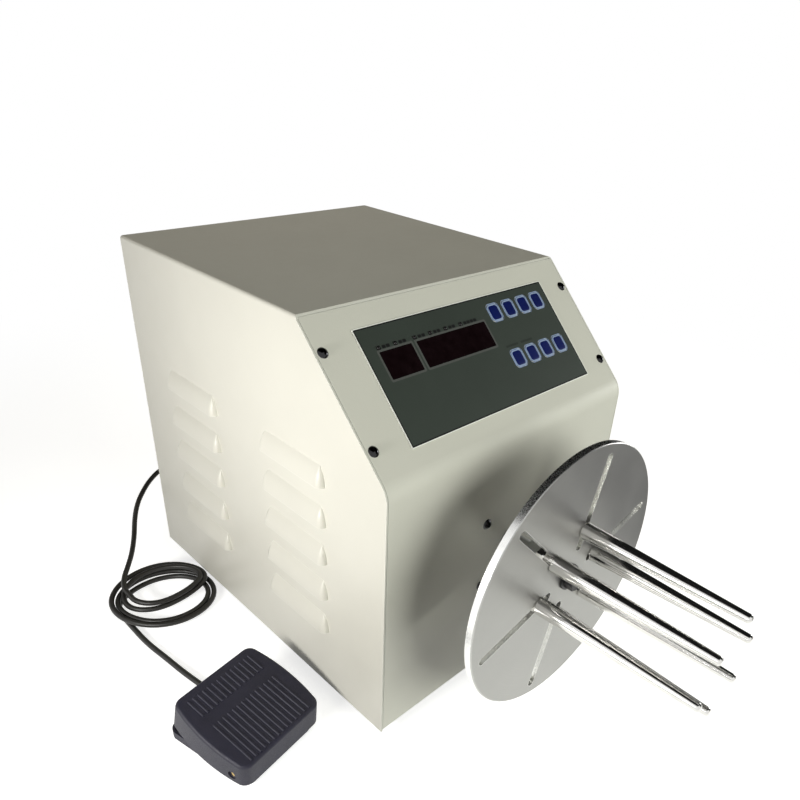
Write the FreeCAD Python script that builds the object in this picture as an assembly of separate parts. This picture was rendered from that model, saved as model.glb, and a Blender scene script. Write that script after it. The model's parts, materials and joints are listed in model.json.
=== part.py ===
import FreeCAD, Part
import math
import os

# Cable winding machine: a bench case of folded sheet with a sloped control face, a slotted winding
# disc with six posts on its front, a belt drive inside, and a foot switch on a coiled cord.
# Millimetres. The origin lies on the table under the middle of the case: +X to the right seen
# from the front, +Y to the rear, +Z up. The disc stands out of the front, towards -Y.

V = FreeCAD.Vector
Placement = FreeCAD.Placement
Rotation = FreeCAD.Rotation
X_AXIS = V(1, 0, 0)
Y_AXIS = V(0, 1, 0)
Z_AXIS = V(0, 0, 1)

# Case
CASE_W = 300.0          # across the front
CASE_D = 378.0          # front to rear
CASE_H = 348.0          # folded sheet, without the feet
SLOPE_RISE = 102.5      # height of the sloped control face
SLOPE_ANGLE = 45.0      # degrees above level
SHEET = 1.5             # every folded sheet of the case
FRONT_BEND_R = 22.0     # crease between the vertical front and the slope
TOP_BEND_R = 3.0        # folds along the top and at the foot of the front
FLANGE = 15.0           # flanges that the panels are screwed to
FOOT_FLANGE = 30.0      # bottom flanges that carry the floor and the feet
PAN_LIP = 18.0          # upturned edges of the floor
SHEET_GAP = 0.4         # between one folded sheet and the next
SEAM = 0.5              # open joint at the top edge of the slope

# Clearances
FIT = 0.02              # fixed pieces, per side
RUN_FIT = 0.05          # running pieces, per side
HOLE_CLEAR = 0.3        # screw shanks in clearance holes, and keys in their cut-outs, per side

# Louvres in each side of the cover
LOUVRE_L = 86.0
LOUVRE_H = 18.0         # from the lip up to where the hood leaves the sheet
LOUVRE_OUT = 6.0        # how far the lip stands out
LOUVRE_WALL = 1.2
LOUVRE_ROWS = 5
LOUVRE_PITCH = 37.8
LOUVRE_LOW = 67.0       # lowest lip above the sheet's bottom edge
LOUVRE_Y = (-75.0, 83.0)

# Feet and screws
FOOT_H = 12.0
FOOT_R = 12.0
FOOT_INSET = 24.0       # foot centre to the case's front and rear
FOOT_NUT_AF = 7.0
FOOT_NUT_H = 3.2
PANEL_HEAD_R = 4.5
PANEL_HEAD_H = 2.6
PANEL_SHANK_R = 2.0
PANEL_SHANK_L = 8.0
PANEL_SCREW_INSET = 7.5 # from the case's sides
PANEL_SCREW_S = (33.0, 112.5)
FLANGE_HEAD_R = 5.0
FLANGE_HEAD_H = 3.2
FLANGE_SHANK_R = 3.0
FLANGE_SCREW_AT = 33.5  # from the spindle, both ways
RECESS_ARM = 0.55       # cross recess of a dome screw, as shares of its head's radius and height
RECESS_BLADE = 0.12
RECESS_FLOOR = 0.45
BOLT_R = 3.0            # bolts that hold the drive to the floor
BOLT_AF = 10.0
BOLT_HEAD_H = 4.0

# Winding head
SPINDLE_UP = 135.0      # spindle above the case's bottom edge
DISC_OUT = 60.4         # back of the disc in front of the case
DISC_R = 123.0
DISC_T = 7.0
SLOT_COUNT = 6
SLOT_START = 14.0       # degrees of the first slot above +X
SLOT_IN_R = 25.0
SLOT_OUT_R = 114.0
SLOT_W = 7.8
POSTS_AT_R = (35.5, 44.5, 38.0, 40.0, 38.0, 42.0)    # where each post stands in its slot
POST_L = 145.0
POST_BASE_R = 7.7
POST_TIP_R = 3.7
STUD_R = 3.65
POST_GAP = 0.05         # post and washer to the disc's faces
WASHER_R = 9.0
WASHER_T = 1.6
NUT_AF = 13.0
NUT_H = 6.5
HUB_R = 19.0
HUB_FLANGE_T = 8.0
BOSS_R = 17.0
BOSS_L = 25.4
DOWEL_R = 2.0
SPINDLE_R = 10.0
SPIGOT_R = 8.0
CENTRE_BOLT_R = 5.0
CENTRE_BOLT_AF = 17.0
CENTRE_BOLT_HEAD = 8.0
CENTRE_BOLT_L = 36.0
CENTRE_WASHER_R = 12.0
CENTRE_WASHER_T = 2.0

# Spindle bearings
BEARING_OUT_R = 23.5
BEARING_W = 14.0
INNER_RING_R = 14.5
OUTER_RING_R = 18.5
BALL_COUNT = 9
BALL_R = 3.95
BALL_OFFSET = 0.25      # ball circle outside the middle of the rings' gap
HOUSING_FLANGE = 90.0
HOUSING_FLANGE_T = 10.0
HOUSING_CORNER_R = 8.0
HOUSING_BOSS_R = 33.0
HOUSING_L = 28.0
SHOULDER = 12.5         # housing front face to the bearing
SPINDLE_CLEAR = 2.0     # spindle to the housing's bore, per side
SHOULDER_BORE_R = 20.0  # bore of the shoulders that the outer rings sit against
SHOULDER_RELIEF = 2.0   # depth of that bore in the front housing
REAR_BLOCK_IN = 249.0   # rear bearing block behind the case's front
REAR_BLOCK_R = 32.0
REAR_BLOCK_T = 16.0
REAR_FOOT_W = 88.0
REAR_FOOT_D = 32.0
REAR_FOOT_T = 8.0

# Belt drive
BELT_IN = 144.0         # plane of the belt behind the case's front
BIG_PULLEY_R = 60.0
SMALL_PULLEY_R = 22.0
PULLEY_W = 18.0
GROOVE_HALF = 5.0       # half of the groove's width at the rim
GROOVE_DEEP = 8.0
GROOVE_FLANK = 2.25     # how much narrower, per side, the groove is at its root
BELT_SUNK = 0.4         # top of the belt below the rim
BELT_T = 6.0
BELT_GAP = 0.3          # belt to each flank
MOTOR_X = 88.0
MOTOR_UP = 55.0         # motor axis above the floor
MOTOR_R = 42.0
MOTOR_L = 130.0
MOTOR_BEHIND = 37.0     # motor face behind the belt plane
SHAFT_R = 6.0
SHAFT_IN = 28.0         # how far the shaft goes into the motor
SHAFT_OUT = 12.0        # how far it stands out past the pulley
BRACKET_T = 5.0
BRACKET_FOOT_D = 42.0

# Turn counter
WHEEL_R = 30.0
WHEEL_T = 1.5
WHEEL_SLOTS = 12
WHEEL_OFF = 10.0        # wheel behind the rear block
SPINDLE_PAST = 7.5      # spindle's end behind the wheel
SENSOR_LEG = 5.0

# Electrics on the floor. What is on the drive board is measured from its left front corner
DRIVE_X = (-138.0, -48.0)
DRIVE_Y = (-120.0, 30.0)
STANDOFF = 8.0
STANDOFF_R = 3.0
SINK_AT = ((8.0, 82.0), (100.0, 142.0))
SINK_T = 5.0
FIN_COUNT = 8
FIN_T = 3.0
FIN_H = 28.0
CAN_AT = ((22.0, 72.0), (50.0, 72.0))
CAN_R = 11.0
CAN_H = 32.0
RELAY_AT = ((8.0, 36.0), (36.0, 54.0))
RELAY_H = 16.0
CHIP_AT = ((44.0, 74.0), (38.0, 50.0))
CHIP_H = 4.0
TERMINAL_AT = ((12.0, 23.0), (10.0, 22.0))
TERMINAL_H = 11.0
TERMINAL_PITCH = 12.0
TERMINAL_COUNT = 5
TRANSFORMER_X = (-130.0, -54.0)
TRANSFORMER_Y = (62.0, 150.0)
TRANSFORMER_H = 62.0
FRAME_T = 3.0           # transformer's footed frame
CORE_INSET = 22.0       # core from the frame's front and rear edges
CORE_LIMB = 12.0        # outer limbs and yokes of the core
CORE_WINDOW = 13.0      # width of the core's windows
COIL_INSET = 12.0       # winding from the frame's front and rear edges
COIL_GAP = 1.0          # winding to the core's limbs and yokes

# Control face: x across, s up the slope from the crease, h outward
OVERLAY_X = (-111.0, 114.8)
OVERLAY_S = (23.5, 123.3)
OVERLAY_T = 0.8
OVERLAY_CORNER_R = 1.2
WINDOW_T = 0.9
WINDOW_X = ((-97.0, -64.0), (-58.5, 21.4))
WINDOW_S = (77.3, 100.7)
WINDOW_LEDGE = 2.0      # how far a window laps over the sheet
LAMP_X = (-95.7, -78.7, -58.2, -41.0, -23.5, -5.5)
LAMP_S = 104.3
LAMP_R = 1.4
LAMP_SUNK = 0.3         # centre of a lamp's dome below the overlay's face
KEY_W = 14.0
KEY_H = 16.0
KEY_X = 39.5            # first column of keys
KEY_PITCH = 19.6
KEY_COLUMNS = 4
KEY_ROWS = (105.7, 60.7)
KEY_PROUD = 0.3
KEY_TRAVEL = 0.5
KEY_STEM = 5.0
BOARD_X = (-104.0, 108.0)
BOARD_S = (20.0, 126.0)
BOARD_T = 1.6
BOARD_BEHIND = 12.5     # board's face behind the sheet
TACT_H = 4.3
TACT_HALF = 3.0         # half width of a key switch's body
TACT_PUSH_R = 1.7
TACT_PUSH_H = 0.8       # its button above its body
BOARD_POST_R = 3.0
BOARD_POST_INSET = 5.0
BACK_CHIP = ((-30.0, 20.0), (40.0, 54.0), 4.0)      # across, up the slope, and how thick
BACK_PLUG = ((40.0, 80.0), (28.0, 38.0), 9.0)
BUZZER_AT = (-70.0, 50.0)
BUZZER_R = 6.0
BUZZER_T = 9.0

# Rear panel
INLET_X = 95.0
INLET_UP = 48.0
SWITCH_UP = 88.0
ROCKER_TILT = 10.0      # degrees each way from level
GLAND_X = -98.0
GLAND_UP = 61.0
GLAND_L = 24.0
GLAND_THREAD_R = 6.0
GLAND_IN = 12.0         # thread in front of the panel's rear face
GLAND_CAP_R = 9.5
GLAND_NUT_AF = 18.0
GLAND_NUT_T = 4.0
INLET_BODY = (13.5, 10.0)   # half width and half height behind the panel
INLET_MOUTH = (12.0, 8.0)
INLET_EAR = 11.0        # flange beyond the sides of the inlet's body
INLET_CUT = 5.0         # cut upper corners of the mouth
INLET_DEPTH = 16.0
INLET_FLOOR = 6.0
PIN_SHORT = 5.0         # pins stop this far inside the mouth
PIN_PLACES = ((-7.0, -1.5), (7.0, -1.5), (0.0, 2.5))
PIN_HALF = (1.0, 2.0)
INLET_SCREW_OUT = 6.0   # screws beyond the sides of the inlet's body
INLET_HEAD_R = 3.0
INLET_HEAD_H = 1.6
INLET_SHANK_R = 1.5
SWITCH_BODY = (6.6, 9.6)
SWITCH_MOUTH = (4.8, 7.6)
SWITCH_DEPTH = 22.0
SWITCH_ROOM = 12.0      # depth of the rocker's room
BLADE_HALF = (2.4, 0.4)
BLADE_L = 9.0
BLADE_AT = 5.0          # each blade above or below the switch's middle
ROCKER_PIN_R = 1.0
ROCKER_PIN_IN = 0.7     # the rocker's pins in the walls of its room
ROCKER_OUT = 0.3        # its axis behind the panel
BEZEL = 2.0
BEZEL_LAP = 1.5

# Foot switch: u across, v from the hinge end towards the cord end, w up
PEDAL_X = -230.0
PEDAL_Y = -97.0
PEDAL_TURN = 10.5       # degrees
PEDAL_WALL = 2.2
BASE_HALF = (39.5, 43.0)
BASE_V = (-46.5, 47.5)
BASE_H = 8.0
BASE_FLOOR = 2.5
PIN_V = -37.0
PIN_W = 16.0
PIN_R = 2.0
LUG_U = 34.0            # inner face of each hinge lug
LUG_T = 4.0
LUG_R = 6.0
PEDAL_CORNER_R = 9.0
SEAT_WALL = 1.6         # ring round the spring's foot
NECK_R = 3.0            # the sleeve's neck through the tray's wall
CONTACT_HALF = 13.0     # half width of the contact block
CONTACT_V = (-16.0, -5.4)
STAND_H = 2.0
PLUNGER_GAP = 0.6       # open treadle to the plunger
TREADLE_BOSS_R = 5.0    # the treadle's bosses for the pin and the spring
PUSH_R = 4.0            # its boss above the plunger
TREADLE_V = (-51.0, 43.0)
TREADLE_TOP_V = (-50.0, 37.0)
TREADLE_TOP_W = (32.0, 40.0)
TREADLE_HALF = (42.7, 40.7)         # half width at the hinge end and at the cord end
TREADLE_WIDE = (-8.0, 47.5)         # where it is widest, and its half width there
TREADLE_CORNER_R = 9.0
COUNTERBORE = 1.0       # depth of the treadle's counterbores at the pin
TREADLE_OPEN = 6.5      # degrees that it stands open at rest
SKIRT_GAP = 0.5
RIB_H = 0.8
RIB_W = 2.8
RIB_COUNT = 14
RIB_SPAN = 66.0
RIB_ZONES = ((-46.5, -2.0), (10.0, 29.0))
SPRING_V = 5.0
SPRING_R = 7.0
SPRING_WIRE_R = 0.8
SPRING_TURNS = 6
SPRING_TOP = 29.0       # seat of the spring in the treadle, when it is down
PLUNGER_V = -9.0
PLUNGER_R = 2.5
PLUNGER_L = 13.0
PLUNGER_TOP = 24.0      # face in the treadle that pushes the plunger, when it is down
SLEEVE_U = 8.0
SLEEVE_W = 4.5
SLEEVE_L = 18.0

# Cord of the foot switch
CORD_D = 5.5
CORD_LOW = 2.85         # centre of the cord where it lies on the table

# Derived places
FRONT_Y = -CASE_D / 2
REAR_Y = CASE_D / 2
BOTTOM_Z = FOOT_H
TOP_Z = BOTTOM_Z + CASE_H
CREASE_Z = TOP_Z - SLOPE_RISE
SIDE_X = CASE_W / 2
INSIDE_X = SIDE_X - SHEET
PANEL_X = INSIDE_X - SHEET_GAP
SIN = math.sin(math.radians(SLOPE_ANGLE))
COS = math.cos(math.radians(SLOPE_ANGLE))
SLOPE_RUN = SLOPE_RISE * COS / SIN
SLOPE_LEN = SLOPE_RISE / SIN
FLOOR_Z = BOTTOM_Z + 2 * SHEET
SPINDLE_Z = BOTTOM_Z + SPINDLE_UP
DISC_BACK = FRONT_Y - DISC_OUT
DISC_FRONT = DISC_BACK - DISC_T
INLET_Z = BOTTOM_Z + INLET_UP
SWITCH_Z = BOTTOM_Z + SWITCH_UP
GLAND_Z = BOTTOM_Z + GLAND_UP
HOUSING_Y = FRONT_Y + SHEET
FRONT_BEARING_Y = HOUSING_Y + SHOULDER
REAR_BLOCK_Y = FRONT_Y + REAR_BLOCK_IN
REAR_BEARING_Y = REAR_BLOCK_Y + (REAR_BLOCK_T - BEARING_W) / 2
WHEEL_Y = REAR_BLOCK_Y + REAR_BLOCK_T + WHEEL_OFF
SPINDLE_END = WHEEL_Y + WHEEL_T + SPINDLE_PAST
BALL_PITCH_R = (INNER_RING_R + OUTER_RING_R) / 2 + BALL_OFFSET
BELT_Y = FRONT_Y + BELT_IN
MOTOR_Z = FLOOR_Z + MOTOR_UP
MOTOR_Y = BELT_Y + MOTOR_BEHIND
PLATE_Y = MOTOR_Y - BRACKET_T
BOARD_TOP = -SHEET - BOARD_BEHIND
TACT_TOP = BOARD_TOP + TACT_H
SLOPE = Placement(V(0, FRONT_Y, CREASE_Z), Rotation(X_AXIS, SLOPE_ANGLE))
PEDAL = Placement(V(PEDAL_X, PEDAL_Y, 0), Rotation(Z_AXIS, PEDAL_TURN))


# Shapes

def outline(corners, lift):
    """A closed wire through corners (a, b) or (a, b, radius), lifted into space."""
    count = len(corners)
    bends = []
    for i, corner in enumerate(corners):
        here = V(corner[0], corner[1], 0)
        if len(corner) < 3:
            bends.append((here, None, here))
            continue
        before = corners[i - 1]
        after = corners[(i + 1) % count]
        back = V(before[0], before[1], 0) - here
        back.normalize()
        ahead = V(after[0], after[1], 0) - here
        ahead.normalize()
        inward = back + ahead
        inward.normalize()
        half = back.getAngle(ahead) / 2
        reach = corner[2] / math.tan(half)
        middle = here + inward * (corner[2] / math.sin(half) - corner[2])
        bends.append((here + back * reach, middle, here + ahead * reach))
    edges = []
    for i, (start, middle, end) in enumerate(bends):
        if middle is not None:
            points = [lift(p.x, p.y) for p in (start, middle, end)]
            edges.append(Part.Arc(*points).toShape())
        following = bends[(i + 1) % count][0]
        if (following - end).Length > 1e-6:
            edges.append(Part.makeLine(lift(end.x, end.y), lift(following.x, following.y)))
    return Part.Wire(edges)


def plan(corners, z, height):
    """Prism upwards from an outline in x, y."""
    return Part.Face(outline(corners, lambda a, b: V(a, b, z))).extrude(V(0, 0, height))


def side(corners, x, width):
    """Prism to the right from an outline in y, z."""
    return Part.Face(outline(corners, lambda a, b: V(x, a, b))).extrude(V(width, 0, 0))


def front(corners, y, depth):
    """Prism to the rear from an outline in x, z."""
    return Part.Face(outline(corners, lambda a, b: V(a, y, b))).extrude(V(0, depth, 0))


def block(x, y, z):
    """A box between three pairs of limits."""
    return Part.makeBox(x[1] - x[0], y[1] - y[0], z[1] - z[0], V(x[0], y[0], z[0]))


def bar(radius, start, end):
    """A round bar between two points."""
    return Part.makeCylinder(radius, (end - start).Length, start, end - start)


def turned(profile, x=0.0, z=SPINDLE_Z):
    """A closed profile of (radius, y) corners, turned about the line along Y through x, z."""
    face = Part.Face(outline(profile, lambda r, y: V(x + r, y, z)))
    return face.revolve(V(x, 0, z), Y_AXIS, 360)


def rounded(half_a, half_b, radius, a=0.0, b=0.0):
    """Corners of a rounded rectangle about a, b."""
    signs = ((-1, -1), (1, -1), (1, 1), (-1, 1))
    return [(a + i * half_a, b + j * half_b, radius) for i, j in signs]


def pair(limits, grow=0.0):
    """Two limits moved apart by grow at each end."""
    return (limits[0] - grow, limits[1] + grow)


def rectangle(a, b, radius):
    """Corners of a rounded rectangle between two pairs of limits."""
    half_a = (a[1] - a[0]) / 2
    half_b = (b[1] - b[0]) / 2
    return rounded(half_a, half_b, radius, a[0] + half_a, b[0] + half_b)


def hexagon(across_flats, z, height):
    """A hexagonal prism about the Z axis."""
    radius = across_flats / math.sqrt(3)
    angles = [math.radians(60 * i) for i in range(6)]
    return plan([(radius * math.cos(a), radius * math.sin(a)) for a in angles], z, height)


def moved(shape, placement):
    """A copy of a shape in another place."""
    copy = shape.copy()
    copy.Placement = placement.multiply(shape.Placement)
    return copy


def aimed(shape, point, direction):
    """A copy of a shape with its Z axis turned to a direction and its origin at a point."""
    return moved(shape, Placement(point, Rotation(Z_AXIS, direction)))


def both_sides(shape):
    """A shape and its mirror image about the middle plane."""
    return [shape, shape.mirror(V(0, 0, 0), X_AXIS)]


def dome_screw(head_r, head_h, shank_r, length):
    """A dome head with a cross recess above the XY plane, and its shank below."""
    sphere_r = (head_r ** 2 + head_h ** 2) / (2 * head_h)
    ball = Part.makeSphere(sphere_r, V(0, 0, head_h - sphere_r))
    screw = ball.common(Part.makeCylinder(head_r, head_h))
    screw = screw.fuse(bar(shank_r, V(0, 0, -length), V(0, 0, head_h / 2)))
    arm = head_r * RECESS_ARM
    blade = head_r * RECESS_BLADE
    sink = (head_h * RECESS_FLOOR, head_h + 1)
    recess = block((-arm, arm), (-blade, blade), sink).fuse(block((-blade, blade), (-arm, arm), sink))
    return screw.cut(recess)


def hex_bolt(across_flats, head_h, shank_r, length):
    """A hexagonal head above the XY plane, and its shank below."""
    return hexagon(across_flats, 0, head_h).fuse(bar(shank_r, V(0, 0, -length), V(0, 0, head_h / 2)))


def save(node, *shapes):
    """Write every solid of the shapes as one named piece of the machine."""
    solids = [solid for shape in shapes for solid in shape.Solids]
    bad = [i for i, solid in enumerate(solids) if not solid.isValid() or solid.Volume <= 0]
    if bad:
        raise RuntimeError(f"{node}: faulty solids {bad}")
    shape = solids[0] if len(solids) == 1 else Part.makeCompound(solids)
    shape.exportStep(f"parts/{node}.step")
    volume = sum(solid.Volume for solid in solids)
    print(f"{node}: {len(solids)} solids, {volume / 1000:.2f} cm3")


# Case

def case_profile():
    """Side view of the case, as (y, z) corners."""
    return [(FRONT_Y, BOTTOM_Z), (FRONT_Y, CREASE_Z, FRONT_BEND_R), (FRONT_Y + SLOPE_RUN, TOP_Z),
            (REAR_Y, TOP_Z), (REAR_Y, BOTTOM_Z)]


def louvre(y, z):
    """Hood and hollow of one louvre on the right side, its lip at height z and open downwards."""
    arc_r = (LOUVRE_OUT ** 2 + LOUVRE_H ** 2) / (2 * LOUVRE_OUT)
    centre = SIDE_X + LOUVRE_OUT - arc_r
    half = LOUVRE_L / 2 - LOUVRE_OUT

    def hood(radius, inner_x):
        """Curved body of the given radius, with quarter-turned ends."""
        top = math.sqrt(radius ** 2 - (SIDE_X - centre) ** 2)
        mid_angle = math.atan2(top, SIDE_X - centre) / 2
        middle = V(centre + radius * math.cos(mid_angle), 0, z + radius * math.sin(mid_angle))
        start = V(centre + radius, 0, z)
        end = V(SIDE_X, 0, z + top)
        arc = Part.Arc(start, middle, end).toShape()
        foot = V(SIDE_X, 0, z)
        end_face = Part.Face(Part.Wire([arc, Part.makeLine(end, foot), Part.makeLine(foot, start)]))
        in_foot = V(inner_x, 0, z)
        in_top = V(inner_x, 0, z + top)
        lines = [Part.makeLine(end, in_top), Part.makeLine(in_top, in_foot), Part.makeLine(in_foot, start)]
        run_face = Part.Face(Part.Wire([arc] + lines))
        run_face.translate(V(0, y - half, 0))
        shape = run_face.extrude(V(0, 2 * half, 0))
        for way in (-1, 1):
            cap = end_face.copy()
            cap.translate(V(0, y + way * half, 0))
            shape = shape.fuse(cap.revolve(V(SIDE_X, y + way * half, z), Z_AXIS, way * 90))
        return shape

    outer = hood(arc_r, SIDE_X - SHEET / 2)
    hollow = hood(arc_r - LOUVRE_WALL, SIDE_X - 2 * SHEET)
    return outer, hollow


def make_cover():
    """Top and both sides from one folded sheet, with its flanges and louvres."""
    inner_r = TOP_BEND_R - SHEET
    section = [(-SIDE_X, BOTTOM_Z), (-SIDE_X, TOP_Z, TOP_BEND_R), (SIDE_X, TOP_Z, TOP_BEND_R),
               (SIDE_X, BOTTOM_Z), (INSIDE_X, BOTTOM_Z), (INSIDE_X, TOP_Z - SHEET, inner_r),
               (-INSIDE_X, TOP_Z - SHEET, inner_r), (-INSIDE_X, BOTTOM_Z)]
    cover = front(section, FRONT_Y, CASE_D)
    in_wall = INSIDE_X + SHEET / 2
    rear = (REAR_Y - 2 * SHEET, REAR_Y - SHEET)
    flanges = both_sides(block((INSIDE_X - FOOT_FLANGE, in_wall), (FRONT_Y + SHEET + SHEET_GAP, rear[1]),
                               (BOTTOM_Z, BOTTOM_Z + SHEET)))
    flanges += both_sides(block((INSIDE_X - FLANGE, in_wall), rear, (BOTTOM_Z, TOP_Z - SHEET / 2)))
    flanges.append(block((-in_wall, in_wall), rear, (TOP_Z - SHEET - FLANGE, TOP_Z - SHEET / 2)))
    under = (-2 * SHEET, -SHEET)
    run = block((INSIDE_X - FLANGE, in_wall), (FLANGE, SLOPE_LEN), under)
    flanges += both_sides(moved(run, SLOPE))
    flanges.append(moved(block((-in_wall, in_wall), (SLOPE_LEN - FLANGE, SLOPE_LEN), under), SLOPE))
    cover = cover.fuse(flanges).common(side(case_profile(), -SIDE_X, CASE_W)).removeSplitter()
    hoods = []
    hollows = []
    for y in LOUVRE_Y:
        for row in range(LOUVRE_ROWS):
            outer, hollow = louvre(y, BOTTOM_Z + LOUVRE_LOW + row * LOUVRE_PITCH)
            hoods += both_sides(outer)
            hollows += both_sides(hollow)
    cover = cover.fuse(hoods).cut(hollows)
    tools = [screw_hole(spot, FIT) for spot in panel_screw_spots() + rear_screw_spots()]
    tools += [screw_hole(spot, HOLE_CLEAR) for spot in foot_screw_spots()]
    return cover.cut(tools)


# A screw's spot is the point under its head, the way its head faces, its shank's radius and length.

def panel_screw_spots():
    """Four screws through the slope into the cover's flanges."""
    spots = []
    reach = SIDE_X - PANEL_SCREW_INSET
    for x in (-reach, reach):
        for s in PANEL_SCREW_S:
            point = SLOPE.multVec(V(x, s, 0))
            spots.append((point, SLOPE.Rotation.multVec(Z_AXIS), PANEL_SHANK_R, PANEL_SHANK_L))
    return spots


def flange_screw_spots():
    """Four screws through the front into the bearing housing."""
    spots = []
    for i in (-1, 1):
        for j in (-1, 1):
            point = V(i * FLANGE_SCREW_AT, FRONT_Y, SPINDLE_Z + j * FLANGE_SCREW_AT)
            spots.append((point, -Y_AXIS, FLANGE_SHANK_R, SHEET + HOUSING_FLANGE_T + 2))
    return spots


def rear_screw_spots():
    """Eight screws through the rear panel into the cover's flanges."""
    x = INSIDE_X - FLANGE / 2
    top = TOP_Z - SHEET - FLANGE / 2
    heights = [BOTTOM_Z + 40, (BOTTOM_Z + TOP_Z) / 2, top - 30]
    places = [(way * x, z) for way in (-1, 1) for z in heights] + [(-x / 2, top), (x / 2, top)]
    return [(V(a, REAR_Y, b), Y_AXIS, PANEL_SHANK_R, PANEL_SHANK_L) for a, b in places]


def foot_screw_spots():
    """Four screws up through the feet, the cover's bottom flanges and the floor."""
    x = INSIDE_X - FOOT_FLANGE / 2 - 1.5
    y = CASE_D / 2 - FOOT_INSET
    return [(V(i * x, j * y, FOOT_H / 2), -Z_AXIS, PANEL_SHANK_R, FOOT_H / 2 + 2 * SHEET + 6)
            for i in (-1, 1) for j in (-1, 1)]


def screw_hole(spot, clear):
    """The hole that a screw's shank needs."""
    point, facing, radius, length = spot
    return bar(radius + clear, point + facing * 6, point - facing * (length + 2))


def make_front_panel():
    """Vertical front and slope from one folded sheet, set between the cover's sides."""
    drop = SHEET * math.tan(math.radians(90 - SLOPE_ANGLE) / 2)
    end = SLOPE_LEN - SHEET / SIN - SEAM
    top = V(FRONT_Y + end * COS, CREASE_Z + end * SIN, 0)
    inner_y = FRONT_Y + SHEET
    return_y = FRONT_Y + PAN_LIP
    sheet = side([(return_y, BOTTOM_Z), (FRONT_Y, BOTTOM_Z, TOP_BEND_R), (FRONT_Y, CREASE_Z, FRONT_BEND_R),
                  (top.x, top.y), (top.x + SHEET * SIN, top.y - SHEET * COS),
                  (inner_y, CREASE_Z - drop, FRONT_BEND_R - SHEET),
                  (inner_y, BOTTOM_Z + SHEET, TOP_BEND_R - SHEET), (return_y, BOTTOM_Z + SHEET)],
                 -PANEL_X, 2 * PANEL_X)
    clear_x = INSIDE_X - FOOT_FLANGE - FLANGE / 2
    notch = block((clear_x, SIDE_X), (inner_y, return_y + 1), (BOTTOM_Z - 1, BOTTOM_Z + 2 * SHEET))
    tools = both_sides(notch)
    tools.append(bar(SPINDLE_R + 3, V(0, FRONT_Y - 1, SPINDLE_Z), V(0, inner_y + 1, SPINDLE_Z)))
    tools += [screw_hole(spot, HOLE_CLEAR) for spot in flange_screw_spots() + panel_screw_spots()]
    depth = (-2 * SHEET, SHEET)
    for window in WINDOW_X:
        tools.append(moved(block(pair(window, -WINDOW_LEDGE), pair(WINDOW_S, -WINDOW_LEDGE), depth), SLOPE))
    stem = KEY_STEM / 2 + HOLE_CLEAR
    for x, s in key_places():
        tools.append(moved(block((x - stem, x + stem), (s - stem, s + stem), depth), SLOPE))
    for x in LAMP_X:
        tools.append(moved(bar(LAMP_R + HOLE_CLEAR, V(x, LAMP_S, depth[0]), V(x, LAMP_S, depth[1])), SLOPE))
    return sheet.cut(tools)


def make_rear_panel():
    """Flat sheet inside the cover's rear edge, with the cut-outs of what sits in it."""
    top = TOP_Z - SHEET - SHEET_GAP
    panel = front([(-PANEL_X, BOTTOM_Z), (PANEL_X, BOTTOM_Z), (PANEL_X, top, TOP_BEND_R),
                   (-PANEL_X, top, TOP_BEND_R)], REAR_Y - SHEET, SHEET)
    depth = (REAR_Y - 2 * SHEET, REAR_Y + 1)
    tools = [screw_hole(spot, HOLE_CLEAR) for spot in rear_screw_spots()]
    tools += [screw_hole(spot, FIT) for spot in inlet_screw_spots()]
    tools.append(block((INLET_X - INLET_BODY[0] - FIT, INLET_X + INLET_BODY[0] + FIT), depth,
                       (INLET_Z - INLET_BODY[1] - FIT, INLET_Z + INLET_BODY[1] + FIT)))
    tools.append(block((INLET_X - SWITCH_BODY[0] - FIT, INLET_X + SWITCH_BODY[0] + FIT), depth,
                       (SWITCH_Z - SWITCH_BODY[1] - FIT, SWITCH_Z + SWITCH_BODY[1] + FIT)))
    tools.append(bar(GLAND_THREAD_R + FIT, V(GLAND_X, depth[0], GLAND_Z), V(GLAND_X, depth[1], GLAND_Z)))
    return panel.cut(tools)


def make_base_pan():
    """Floor with upturned side and rear edges, on the cover's bottom flanges."""
    low = BOTTOM_Z + SHEET
    floor = (low, FLOOR_Z)
    lip = (low, low + PAN_LIP)
    front_y = FRONT_Y + TOP_BEND_R + SHEET_GAP
    rear_y = REAR_Y - 2 * SHEET - SHEET_GAP
    narrow = INSIDE_X - FLANGE - SHEET_GAP
    pan = block((-PANEL_X, PANEL_X), (front_y, rear_y), floor)
    pan = pan.fuse(block((-narrow, narrow), (rear_y - 1, REAR_Y - SHEET), floor))
    pan = pan.fuse(block((-narrow, narrow), (REAR_Y - 2 * SHEET, REAR_Y - SHEET), lip))
    pan = pan.fuse(both_sides(block((PANEL_X - SHEET, PANEL_X), (front_y, rear_y), lip)))
    tools = [screw_hole(spot, HOLE_CLEAR) for spot in foot_screw_spots()]
    tools += [screw_hole(spot, FIT) for spot in floor_bolt_spots()]
    return pan.removeSplitter().cut(tools)


def make_feet():
    """Rubber feet, tapered, with a sunk seat for the screw."""
    feet = []
    for point, facing, radius, length in foot_screw_spots():
        foot = Part.makeCone(FOOT_R - 1, FOOT_R, FOOT_H, V(point.x, point.y, 0))
        foot = foot.cut(bar(PANEL_HEAD_R + 1, V(point.x, point.y, -1), point))
        feet.append(foot.cut(bar(radius + HOLE_CLEAR, point, V(point.x, point.y, FOOT_H + 1))))
    return feet


def make_case_screws():
    """Screws of the rear panel, and of the feet with their nuts on the floor."""
    screws = [aimed(dome_screw(PANEL_HEAD_R, PANEL_HEAD_H, radius, length), point, facing)
              for point, facing, radius, length in rear_screw_spots() + foot_screw_spots()]
    for point, facing, radius, length in foot_screw_spots():
        nut = hexagon(FOOT_NUT_AF, 0, FOOT_NUT_H).cut(bar(radius + FIT, -Z_AXIS, Z_AXIS * (FOOT_NUT_H + 1)))
        screws.append(moved(nut, Placement(V(point.x, point.y, FLOOR_Z), Rotation())))
    return screws


# Winding head

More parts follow.
